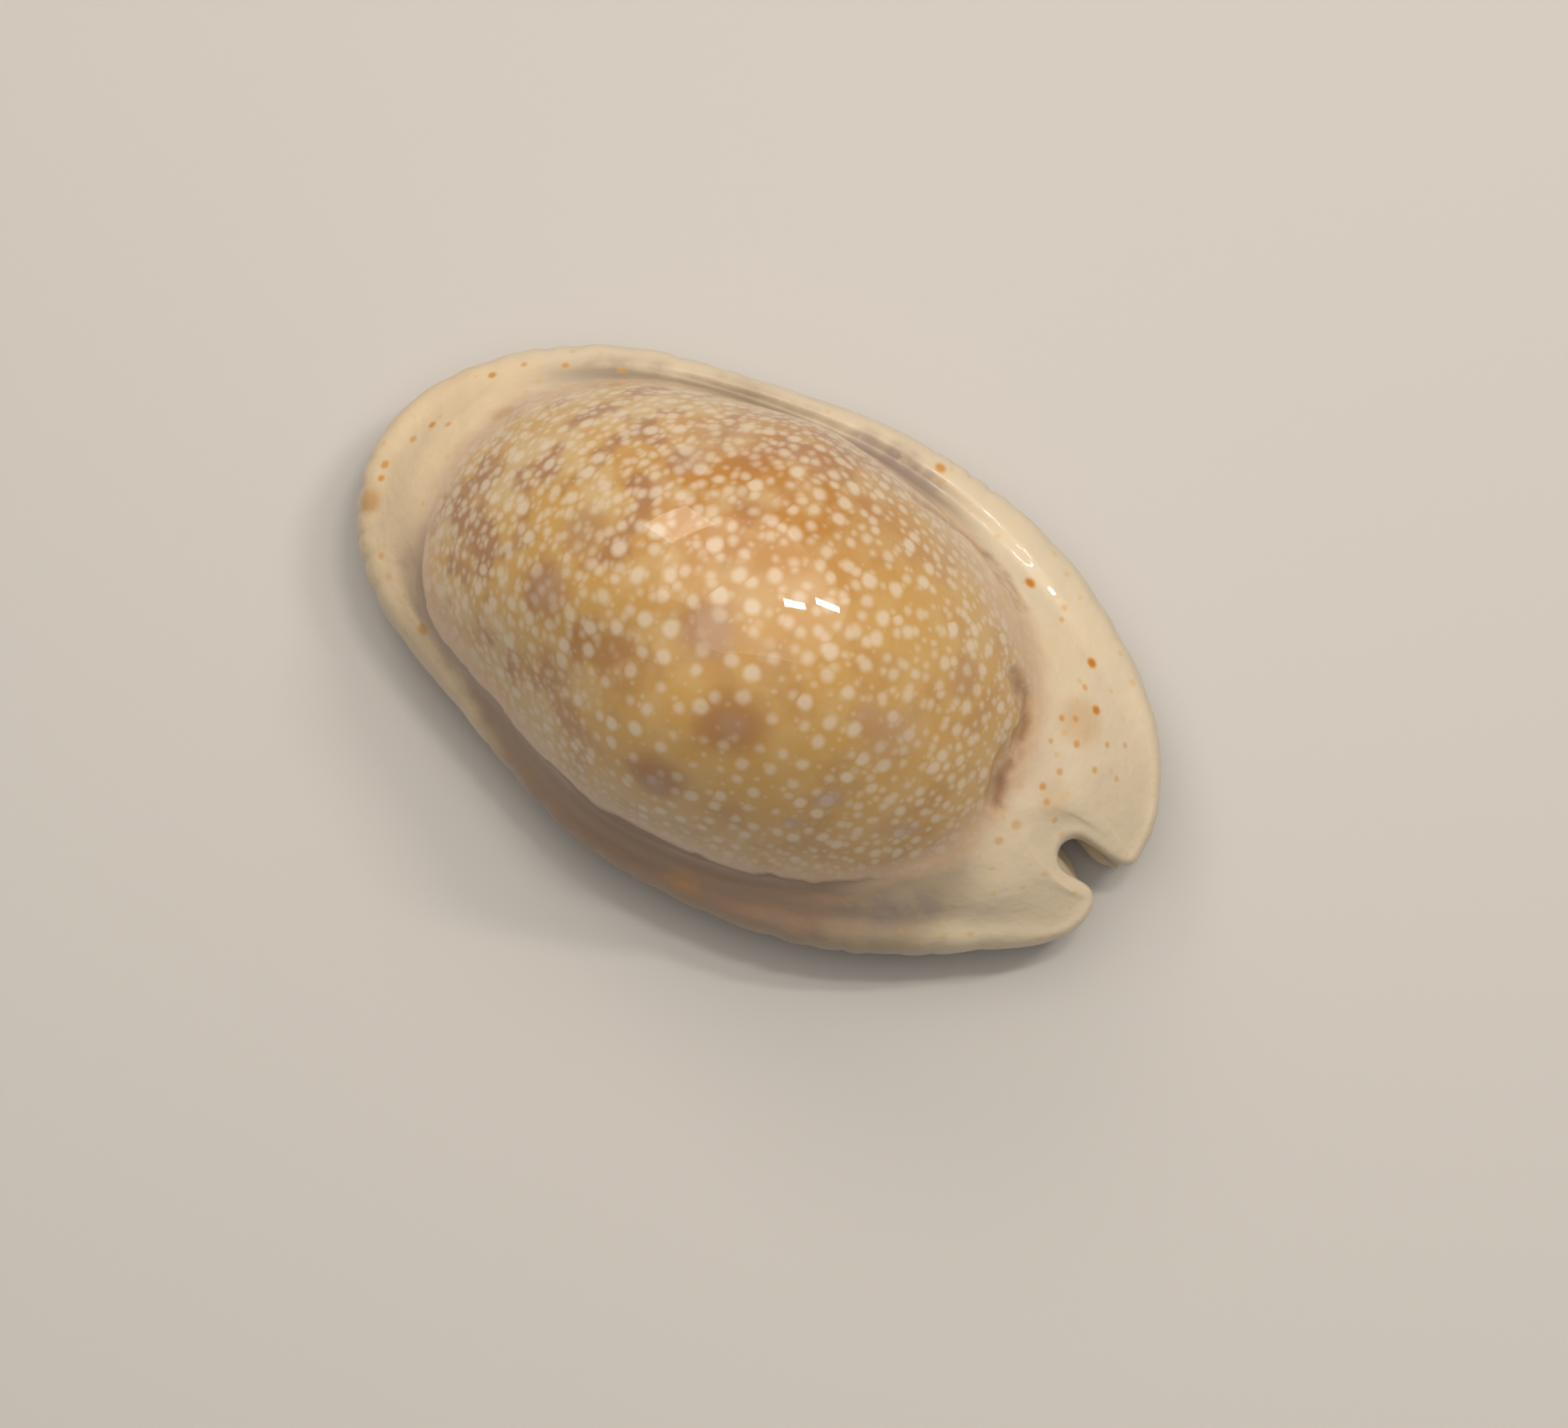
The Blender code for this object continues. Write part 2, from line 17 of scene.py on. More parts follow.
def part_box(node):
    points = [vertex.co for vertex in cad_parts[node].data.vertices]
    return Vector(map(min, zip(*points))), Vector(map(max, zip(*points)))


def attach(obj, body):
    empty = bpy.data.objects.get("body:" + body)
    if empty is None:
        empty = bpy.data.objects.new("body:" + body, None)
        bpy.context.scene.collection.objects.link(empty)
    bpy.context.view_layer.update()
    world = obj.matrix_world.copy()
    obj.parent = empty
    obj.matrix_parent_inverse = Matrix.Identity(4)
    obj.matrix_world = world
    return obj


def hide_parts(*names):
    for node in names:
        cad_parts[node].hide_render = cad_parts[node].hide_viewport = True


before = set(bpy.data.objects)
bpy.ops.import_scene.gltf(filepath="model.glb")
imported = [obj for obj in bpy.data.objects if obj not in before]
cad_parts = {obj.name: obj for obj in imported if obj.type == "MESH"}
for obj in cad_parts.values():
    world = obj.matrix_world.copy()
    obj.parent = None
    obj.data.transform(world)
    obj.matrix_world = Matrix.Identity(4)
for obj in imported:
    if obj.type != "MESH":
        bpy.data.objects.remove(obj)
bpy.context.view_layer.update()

MM = 0.001
# The least distance in millimetres that a curve reckons with between two rings.
LEAST_STEP = 0.05
# Keeps a length from being 0.
TINY = 1e-9
# How far scattered points stray from an even grid, from 0 to 1.
SCATTER = 0.65
PHOTO_WIDTH = 2016
PHOTO_HEIGHT = 1836
log = logging.getLogger("eroded_cowrie")

Array = np.ndarray
Colour = tuple[float, float, float]
Place = tuple[float, float, float]
Span = tuple[float, float]


def ease(value: Array, start: float = 0.0, end: float = 1.0) -> Array:
    """A smooth step from 0 at start to 1 at end."""
    part = np.clip((value - start) / (end - start), 0, 1)
    return part * part * (3 - 2 * part)


def mix(first: Array, second: Array, share: Array) -> Array:
    """The first value where share is 0 and the second where it is 1."""
    return first + (second - first) * share


def raised(sizes: Span, share: "Value | Array | float") -> "Value | Array | float":
    """The first of two sizes, with the second added as far as share goes."""
    return sizes[0] + sizes[1] * share


def around(value: Array) -> Array:
    """Degrees brought to between -180 and 180."""
    return (value + 180) % 360 - 180


def points(x: Array, y: Array, z: Array) -> Array:
    """Points from their coordinates."""
    return np.stack(np.broadcast_arrays(x, y, z), axis=-1).astype(float)


def outward(ring: Array) -> Array:
    """Unit vectors that point out of a ring, seen from above.

    Args:
        ring: The points, which run anticlockwise.

    Returns:
        A direction for each point.
    """
    along = np.roll(ring, -1, axis=0)[:, :2] - np.roll(ring, 1, axis=0)[:, :2]
    across = np.stack((-along[:, 1], along[:, 0]), axis=-1)
    return -across / np.linalg.norm(across, axis=1, keepdims=True)


def shifted(ring: Array, direction: Array, distance: Array, height: Array) -> Array:
    """A ring moved sideways, at a new height.

    Args:
        ring: The points to move.
        direction: The way each point moves, seen from above.
        distance: How far each point moves.
        height: The height each point has afterwards.

    Returns:
        The moved ring.
    """
    moved = ring[:, :2] + direction * np.reshape(distance, (-1, 1))
    return points(moved[:, 0], moved[:, 1], height)


def between(
    before: Array, start: Array, end: Array, after: Array, part: float
) -> Array:
    """Points on the smooth curves through four rings, between the middle two.

    Args:
        before: The ring before the stretch.
        start: The ring where the stretch starts.
        end: The ring where it ends.
        after: The ring after the stretch.
        part: How far along the stretch, from 0 to 1.

    Returns:
        A ring on the curves.
    """
    first, second, third = (
        np.maximum(np.linalg.norm(far - near, axis=1), LEAST_STEP)[:, None] ** 0.5
        for near, far in ((before, start), (start, end), (end, after))
    )
    leave = (start - before) / first - (end - before) / (first + second) + (end - start) / second
    reach = (end - start) / second - (after - start) / (second + third) + (after - end) / third
    curve = mix(start, end, part * part * (3 - 2 * part))
    return curve + part * (1 - part) * second * ((1 - part) * leave - part * reach)


@dataclass(frozen=True)
class Hump:
    """A smooth hump: its height, its middle and how far it reaches on both sides."""

    height: float
    centre: float
    reach: float

    def at(self, value: Array) -> Array:
        """Height of the hump at a value."""
        distance = np.clip(np.abs(value - self.centre) / self.reach, 0, 1)
        return self.height * np.cos(distance * math.pi / 2) ** 2

    def towards(self, degrees: Array) -> Array:
        """Height of the hump in a direction, where its middle and reach are degrees."""
        return self.at(around(degrees - self.centre) + self.centre)


@dataclass(frozen=True)
class RoundSize:
    """A size that changes round the shell: a level and humps by direction."""

    level: float
    humps: tuple[Hump, ...]

    def towards(self, degrees: Array) -> Array:
        """The size in a direction."""
        return self.level + sum(hump.towards(degrees) for hump in self.humps)


@dataclass
class Columns:
    """Where the columns of the net stand on their way round the slit, from the notch's root."""

    fineness: int = 4
    per_tooth: int = 4
    outer_teeth: int = 16
    inner_teeth: int = 15
    at_notch: int = 16
    at_canal: int = 10
    notch_edge: int = 8
    fan: float = 11.0
    fan_fade: float = 5.0
    lobe_fade: float = 3.5
    tooth_end: float = 0.04
    groove_power: float = 1.5
    places: tuple[int, ...] = (0, 8, 16, 28, 40, 52, 64, 72, 77, 82, 90, 101, 112, 123, 134, 142, 150)
    turns: tuple[int, ...] = (
        171, 183, 207, 240, 268, 297, 333, 362, 371, 380, 399, 428, 453, 478, 505, 520, 531,
    )

    def __post_init__(self) -> None:
        """Work out each column's place, side and direction."""
        self.outer_start = self.at_notch // 2
        self.canal_start = self.outer_start + self.outer_teeth * self.per_tooth
        self.inner_start = self.canal_start + self.at_canal
        self.notch_start = self.inner_start + self.inner_teeth * self.per_tooth
        self.count = self.notch_start + self.at_notch // 2
        self.place = np.arange(self.count * self.fineness) / self.fineness
        turn = np.where(self.place > self.notch_start, self.place - self.count, self.place)
        middle = self.canal_start + self.at_canal / 2
        self.side = np.where((turn < 0) | (turn > middle), 1.0, -1.0)
        self.notch = np.clip(np.abs(turn) / self.notch_edge, 0, 1)
        self.canal = np.clip((turn - self.canal_start) / self.at_canal, 0, 1)
        self.in_notch = self.notch < 1
        self.in_canal = (self.canal > 0) & (self.canal < 1)
        outer = (turn - self.outer_start) / (self.canal_start - self.outer_start)
        inner = (self.notch_start - self.place) / (self.notch_start - self.inner_start)
        self.along = np.clip(np.where(self.side < 0, outer, inner), 0, 1)
        self.root = 1 - self.notch
        self.away = np.minimum(self.place, self.count - self.place) / self.notch_edge
        self.lobe = 1 - ease(self.away, 1, self.lobe_fade)
        self.mouth = np.where(self.in_canal, 1 - np.abs(2 * self.canal - 1), 0)
        self.degrees = self.directions()
        self.angle = np.radians(self.degrees)

    def directions(self) -> Array:
        """Directions of the columns on the margin, on a smooth curve through a few chosen ones.

        Returns:
            A direction in degrees for each column.
        """
        places, turns = self.places, self.turns
        first = np.array((places[-2] - places[-1], *places, places[-1] + places[1]), float)
        second = np.array((turns[-2] - 360, *turns, turns[1] + 360), float)
        slope = (second[2:] - second[:-2]) / (first[2:] - first[:-2])
        index = np.clip(np.searchsorted(places, self.place, side="right") - 1, 0, len(places) - 2)
        step = first[index + 2] - first[index + 1]
        part = (self.place - first[index + 1]) / step
        rise = second[index + 2] - second[index + 1]
        bend = part * (1 - part) * step
        curve = second[index + 1] + rise * part * part * (3 - 2 * part)
        return curve + bend * ((1 - part) * slope[index] - part * slope[index + 1])

    def teeth(self) -> tuple[Array, Array]:
        """How far each column is a tooth's crest, and how far the groove between two teeth.

        Returns:
            The share of a crest and the share of a groove at each column.
        """
        outer = (self.place - self.outer_start) / self.per_tooth
        inner = (self.place - self.inner_start) / self.per_tooth
        wave = 0.5 - 0.5 * np.cos(2 * math.pi * np.where(self.side < 0, outer, inner))
        ends = ease(self.along, 0, self.tooth_end) * ease(1 - self.along, 0, self.tooth_end)
        ends = np.where(self.in_notch | self.in_canal, 0.0, ends)
        return wave * ends, (1 - wave) ** self.groove_power * ends


@dataclass(frozen=True)
class Notch:
    """The deep notch at the spire end: a round root, two straight walls and two lobes."""

    centre: Span = (-18.3, 2.1)
    radius: float = 0.85
    edge: float = 0.6
    climb: float = 0.75
    inset: float = 0.35
    wall_inset: float = 0.08
    arc: float = 0.75
    thickness: float = 0.9
    lip_climb: float = 0.7
    lobe_radius: float = 0.85
    outer_lobe_x: float = -20.22
    inner_lobe_x: float = -19.3

    def walk(self, share: Array, side: int, end: Array) -> tuple[Array, Array]:
        """The notch's edge seen from above.

        Args:
            share: How far along the way from the root, over a lobe, to the end point.
            side: -1 on the outer lip's side and 1 on the columella's.
            end: The point of the margin where the way ends.

        Returns:
            The x and y of the points.
        """
        lobe_x = self.outer_lobe_x if side < 0 else self.inner_lobe_x
        corner = self.radius * math.pi / 2
        wall = self.centre[0] - lobe_x
        lobe = self.lobe_radius * math.pi / 2
        lobe_y = self.radius + self.lobe_radius
        last = math.hypot(end[0] - (lobe_x - self.lobe_radius), abs(end[1] - self.centre[1]) - lobe_y)
        walked = share * (corner + wall + lobe + last)
        turn = np.clip(walked / corner, 0, 1) * math.pi / 2
        x = self.centre[0] + self.radius * np.cos(turn) - np.clip(walked - corner, 0, wall)
        bend = np.clip((walked - corner - wall) / lobe, 0, 1) * math.pi / 2
        x = x - self.lobe_radius * np.sin(bend)
        y = self.radius * np.sin(turn) + self.lobe_radius * (1 - np.cos(bend))
        rest = np.clip((walked - corner - wall - lobe) / last, 0, 1)
        x = mix(x, end[0], rest ** 2)
        y = mix(y, abs(end[1] - self.centre[1]), rest)
        return x, self.centre[1] + side * y


@dataclass
class Margin:
    """The outermost line of the shell, seen from above, and its height."""

    columns: Columns
    notch: Notch
    length: float = 42.16
    width: float = 25.2
    outer_swells: tuple[Hump, ...] = (Hump(-0.55, 5.5, 9.0), Hump(0.22, -10.0, 8.0))
    inner_swells: tuple[Hump, ...] = (Hump(-1.35, 12.0, 11.0), Hump(0.25, -8.0, 8.0), Hump(0.9, -20.2, 4.0))
    swell_fade: float = 1.2
    canal_dent: float = 0.15
    edge: RoundSize = RoundSize(3.3, (Hump(0.6, 270, 60), Hump(0.3, 90, 60)))

    def half_width(self, x: Array, side: Array) -> Array:
        """Half width of the whole margin at x, on the outer lip's side or the columella's.

        Args:
            x: Place along the shell.
            side: -1 on the outer lip's side and 1 on the columella's.

        Returns:
            The distance from the middle line.
        """
        ellipse = self.width / 2 * np.sqrt(np.clip(1 - (2 * x / self.length) ** 2, 0, 1))
        outer = sum(swell.at(x) for swell in self.outer_swells)
        inner = sum(swell.at(x) for swell in self.inner_swells)
        fade = ease(self.length / 2 - np.abs(x), 0, self.swell_fade)
        return ellipse + np.where(side < 0, outer, inner) * fade

    def lines(self) -> tuple[Array, Array]:
        """The margin with its notch and dent, and the same line without them.

        Returns:
            Two rings at height 0.
        """
        turn = self.columns
        x = self.length / 2 * np.cos(turn.angle)
        half = np.where(np.sin(turn.angle) < 0, -1.0, 1.0)
        whole = points(x, half * self.half_width(x, half), 0)
        line = whole.copy()
        line[:, 0] -= self.canal_dent * ease(turn.mouth)
        for side in (-1, 1):
            mine = turn.in_notch & (turn.side == side)
            end = turn.outer_start if side < 0 else turn.notch_start
            last = whole[np.argmin(np.abs(turn.place - end))]
            line[mine, 0], line[mine, 1] = self.notch.walk(turn.notch[mine], side, last)
        return line, whole


@dataclass
class Dome:
    """The humped back above the callus, and the vault of the same form inside it."""

    foot_centre: Span = (1.35, 0.4)
    foot_reach: Span = (15.3, 10.65)
    foot_power: float = 2.25
    foot_softness: float = 24.0
    foot_height: RoundSize = RoundSize(6.9, (Hump(2.0, 180, 80), Hump(1.2, 0, 70), Hump(0.7, 270, 60)))
    least_flange: float = 1.25
    summit: Span = (-0.8, 0.3)
    height: float = 20.0
    wall: float = 1.3
    end_steepness: Span = (0.80, 0.70)
    side_steepness: float = 0.996
    side_reach: float = 0.75
    end_powers: Span = (2.1, 2.0)
    side_powers: Span = (2.2, 2.9)
    row_bow: float = math.radians(76)

    def bearing(self, ring: Array) -> tuple[Array, Array]:
        """Direction in degrees and distance of points from the middle of the dome's foot."""
        away = ring[..., :2] - np.array(self.foot_centre)
        return np.degrees(np.arctan2(away[..., 1], away[..., 0])), np.linalg.norm(away, axis=-1)

    def foot(self, turn: Columns, whole: Array) -> Array:
        """The foot of the dome, where the callus laps over it.

        Args:
            turn: The columns of the net.
            whole: The margin without its notch.

        Returns:
            The ring of the foot.
        """
        towards, length = self.bearing(whole)
        fan = turn.fan * ease(turn.away) * (1 - ease(turn.away, 1, turn.fan_fade))
        wanted = towards - turn.side * fan
        most = np.interp(wanted, towards, length, period=360) - self.least_flange
        height = np.interp(wanted, towards, self.foot_height.towards(turn.degrees), period=360)
        angle = np.radians(wanted)
        across = np.abs(np.stack((np.cos(angle), np.sin(angle)), axis=1)) / np.array(self.foot_reach)
        free = np.sum(across ** self.foot_power, axis=1) ** (-1 / self.foot_power)
        soft = self.foot_softness
        reach = (free ** -soft + most ** -soft) ** (-1 / soft)
        x = self.foot_centre[0] + reach * np.cos(angle)
        return points(x, self.foot_centre[1] + reach * np.sin(angle), height)

    def bulge(self, foot: Array) -> tuple[Array, ...]:
        """How near to upright the dome's foot is, where 1 is upright, and two powers of its curve.

        Args:
            foot: The ring that the dome stands on.

        Returns:
            The steepness and the two powers at each column.
        """
        angle = np.radians(self.bearing(foot)[0])
        ends = mix(*self.end_steepness, (np.cos(angle) + 1) / 2)
        sideways = np.sin(angle) ** 2
        steep = mix(ends, self.side_steepness, sideways ** self.side_reach)
        powers = [mix(end, side, sideways) for end, side in zip(self.end_powers, self.side_powers)]
        return steep, *powers

    def row(self, foot: Array, share: float, top: float, bulge: tuple[Array, ...]) -> Array:
        """A row of the dome.

        Args:
            foot: The ring that the dome stands on.
            share: 0 at the summit and 1 at the foot.
            top: Height of the summit.
            bulge: The form of the curve from summit to foot.

        Returns:
            The ring of the row.
        """
        steep, power, root = bulge
        plan = mix(np.array(self.summit), foot[:, :2], share)
        level = (1 - steep ** power) ** (1 / root)
        centre = (foot[:, 2] - top * level) / (1 - level)
        rise = (1 - (steep * share) ** power) ** (1 / root)
        return points(plan[:, 0], plan[:, 1], centre + (top - centre) * rise)

    def share(self, part: float) -> float:
        """Share of the way out at a part of the rows, which stand closer near the foot."""
        return math.sin(part * self.row_bow) / math.sin(self.row_bow)


@dataclass
class Callus:
    """The thick edge from the dome's foot out to the margin."""

    columns: Columns
    notch: Notch
    border: Margin
    dome: Dome
    rim_rise: RoundSize = RoundSize(0.0, (Hump(0.5, 270, 85), Hump(0.15, 40, 40)))
    groove_rise: RoundSize = RoundSize(0.1, (Hump(-0.6, 270, 88), Hump(-0.3, 40, 45), Hump(0.2, 180, 50)))
    power: float = 0.65
    edge_share: float = 0.5
    edge_width: float = 4.5
    edge_height: float = 0.72
    edge_inset: float = 0.29

    def __post_init__(self) -> None:
        """Lay out the margin and the dome's foot."""
        self.line, self.whole = self.border.lines()
        self.away = outward(self.line)
        self.foot = self.dome.foot(self.columns, self.whole)
        self.edge = self.border.edge.towards(self.columns.degrees)

    def height(self, place: Array) -> Array:
        """Height of the callus at places seen from above, as if the notch were filled.

        Args:
            place: The points to look up.

        Returns:
            The height at each point.
        """
        towards, reach = self.dome.bearing(place)
        margin_bearing, margin_reach = self.dome.bearing(self.whole)
        foot_bearing, foot_reach = self.dome.bearing(self.foot)
        outer, inner = (margin_reach, self.edge), (foot_reach, self.foot[:, 2])
        far, low = (np.interp(towards, margin_bearing, size, period=360) for size in outer)
        near, high = (np.interp(towards, foot_bearing, size, period=360) for size in inner)
        share = np.clip((far - reach) / (far - near), 0, 1)
        return mix(low, high, share ** self.power)

    def shoulder(self, margin: Array) -> Array:
        """The ring where the rounded edge turns into the upper face.

        Args:
            margin: The outermost ring.

        Returns:
            The ring of the shoulder.
        """
        width = self.dome.bearing(self.whole)[1] - self.dome.bearing(self.foot)[1]
        inset = self.edge_share * width / np.sqrt(1 + (width / self.edge_width) ** 2)
        inset = mix(inset, self.notch.edge, self.columns.lobe)
        ring = shifted(margin, -self.away, inset, 0)
        ring[:, 2] = self.height(ring) + self.rim_rise.towards(self.columns.degrees)
        return ring

    def rings(self) -> tuple[Array, ...]:
        """The rings from the foot of the dome to the margin.

        Returns:
            Five rings.
        """
        height = mix(self.edge, self.height(self.line), self.notch.climb)
        margin = points(self.line[:, 0], self.line[:, 1], height)
        shoulder = self.shoulder(margin)
        flange = mix(self.foot, shoulder, 0.5)
        flange[:, 2] = self.height(flange) + self.groove_rise.towards(self.columns.degrees)
        corner = mix(margin, shoulder, self.edge_inset)
        corner[:, 2] = mix(margin[:, 2], shoulder[:, 2], self.edge_height)
        return self.foot, flange, shoulder, corner, margin


@dataclass
class Slit:
    """The toothed opening along the base, and the hollow that it leads to."""

    columns: Columns
    notch: Notch
    outer: Span = (-20.35, 19.9)
    inner: Span = (-19.55, 19.5)
    middle_y: float = -1.7
    canal_y: float = 2.4
    canal_reach: float = 0.5
    canal_rise: float = 1.3
    reach: float = 19.6
    bend: float = 2.8
    gap: float = 1.5
    swell: Hump = Hump(0.35, 12.0, 9.0)
    flare: float = 0.2
    flare_from: float = 14.0
    flare_to: float = 19.0
    lip: float = 0.6
    end_lift: float = 1.1
    lift_from: float = 8.0
    lift_to: float = 21.5
    lift_power: float = 1.4
    floor: float = 3.0
    cavity_back: float = 14.2
    cavity_front: float = 15.8
    cavity_sharpness: int = 6
    throat_gap: float = 0.95
    notch_roof: float = 0.9
    canal_roof: float = 0.6
    vault_drop: float = 0.2
    cellar_share: float = 0.78
    cellar_rise: float = 0.4
    cellar_notch_rise: float = 1.6
    cellar_canal_rise: float = 1.2

    def middle(self, x: Array) -> Array:
        """The slit's middle line at x."""
        end = np.where(x < 0, self.notch.centre[1], self.canal_y)
        return mix(self.middle_y, end, np.minimum(np.abs(x) / self.reach, 1) ** self.bend)

    def half_gap(self, x: Array) -> Array:
        """Half the slit's width at x, between the grooves."""
        return (self.gap + self.swell.at(x) + self.flare * ease(-x, self.flare_from, self.flare_to)) / 2

    def lift(self, x: Array) -> Array:
        """How far the base lifts off the table at x, towards the two ends."""
        return self.end_lift * ease(np.abs(x), self.lift_from, self.lift_to) ** self.lift_power

    def rim(self, margin: Array, away: Array) -> Array:
        """The lip of the slit, which climbs to the notch's root and to the canal's mouth.

        Args:
            margin: The outermost ring.
            away: The way out of the margin, seen from above.

        Returns:
            The ring of the lip.
        """
        turn = self.columns
        x = np.where(turn.side < 0, mix(*self.outer, turn.along), mix(*self.inner, turn.along))
        y = self.middle(x) + turn.side * self.half_gap(x)
        mouth = ease(turn.mouth)
        half = self.half_gap(self.outer[1])
        y = np.where(turn.in_canal, self.canal_y + half * np.sin((turn.canal - 0.5) * math.pi), y)
        slit = points(x + self.canal_reach * mouth, y, self.lift(x) + self.lip + self.canal_rise * mouth)
        inset = self.notch.wall_inset + self.notch.inset * ease(turn.root, self.notch.arc, 1)
        edge = shifted(margin, -away, inset, 0)
        edge[:, 0] = np.maximum(edge[:, 0], slit[:, 0])
        most = self.notch.radius + self.notch.inset * turn.root
        edge[:, 1] = self.notch.centre[1] + np.clip(edge[:, 1] - self.notch.centre[1], -most, most)
        ring = mix(slit, edge, turn.in_notch[:, None])
        roof = margin[:, 2] - self.notch.thickness
        ring[:, 2] = mix(slit[:, 2], roof, ease(turn.root, 0, self.notch.lip_climb))
        return ring

    def throat(self, rim: Array) -> Array:
        """The top of the slit's wall, where it opens into the hollow.

        Args:
            rim: The lip of the slit.

        Returns:
            The ring of the throat.
        """
        turn = self.columns
        reach = np.where(rim[:, 0] < 0, self.cavity_back, self.cavity_front)
        notch_x = np.where(turn.side < 0, self.outer[0], self.inner[0])
        flat_x = np.where(turn.in_notch, notch_x, rim[:, 0])
        over = 1 + (np.abs(flat_x) / reach) ** self.cavity_sharpness
        x = flat_x / over ** (1 / self.cavity_sharpness)
        sideways = np.where(turn.in_notch, np.sin(turn.notch * math.pi / 2), 1.0)
        sideways = np.where(turn.in_canal, np.abs(np.sin((turn.canal - 0.5) * math.pi)), sideways)
        y = self.middle(x) + turn.side * sideways * self.half_gap(x) * self.throat_gap
        roof = self.notch_roof * ease(turn.root) + self.canal_roof * ease(turn.mouth)
        return points(x, y, self.floor + roof)

    def rings(self, foot: Array, rim: Array, wall: float) -> tuple[Array, ...]:
        """The rings from the lip to the foot of the vault.

        Args:
            foot: The dome's foot outside.
            rim: The lip.
            wall: Thickness of the shell's wall.

        Returns:
            The rings of the lip, the wall, the throat, the cellar and the vault's foot.
        """
        turn = self.columns
        throat = self.throat(rim)
        vault = shifted(foot, -outward(foot), wall, foot[:, 2] - self.vault_drop)
        cellar = mix(throat, vault, self.cellar_share)
        rise = self.cellar_notch_rise * ease(turn.root) + self.cellar_canal_rise * ease(turn.mouth)
        cellar[:, 2] = self.floor + self.cellar_rise + rise
        return rim, mix(rim, throat, 0.5), throat, cellar, vault


@dataclass
class Underside:
    """The base from the margin in to the slit's lip."""

    columns: Columns
    slit: Slit
    under_share: float = 0.38
    under_height: float = 0.28
    share: float = 0.5
    reach: float = 10.0
    curve: float = 0.3
    seats: Span = (0.46, 0.53)
    lip_share: float = 0.22
    edge_inset: float = 0.29
    least_across: float = 0.001
    least_room: float = 0.6
    full_room: float = 3.2
    edge_heights: tuple[float, ...] = (0.25, 0.5, 0.65, 0.8, 0.92)

    def rings(self, margin: Array, rim: Array) -> tuple[Array, ...]:
        """The rings after the margin, up to the bend of the lip.

        Args:
            margin: The outermost ring.
            rim: The slit's lip.

        Returns:
            Five rings.
        """
        across = rim[:, :2] - margin[:, :2]
        room = np.linalg.norm(across, axis=1)
        inward = across / np.maximum(room, self.least_across)[:, None]
        free = ease(room, self.least_room, self.full_room)
        lift = self.slit.lift(rim[:, 0])
        inset = self.share * room / np.sqrt(1 + (room / self.reach) ** 2)
        seat = np.where(self.columns.side < 0, *self.seats) * (room - inset)
        lip = self.lip_share * room
        lip = lip / np.sqrt(1 + (lip / self.slit.lip) ** 2)
        flat = (
            self.under_height * margin[:, 2],
            self.slit.lift(margin[:, 0]) + self.curve,
            lift,
            lift,
            lift + self.edge_inset * self.slit.lip,
        )
        heights = [
            mix(mix(margin[:, 2], rim[:, 2], share), level, free)
            for share, level in zip(self.edge_heights, flat)
        ]
        return (
            shifted(margin, inward, self.under_share * inset, heights[0]),
            shifted(margin, inward, inset, heights[1]),
            shifted(rim, -inward, seat, heights[2]),
            shifted(rim, -inward, lip, heights[3]),
            shifted(rim, -inward, self.edge_inset * lip, heights[4]),
        )


class Ring(Enum):
    """Places on the way from the dome's foot, which is 0, over the margin into the slit."""

    MARGIN = 4.0
    UNDER = 5.0
    THROAT = 12.0
    VAULT = 14.0


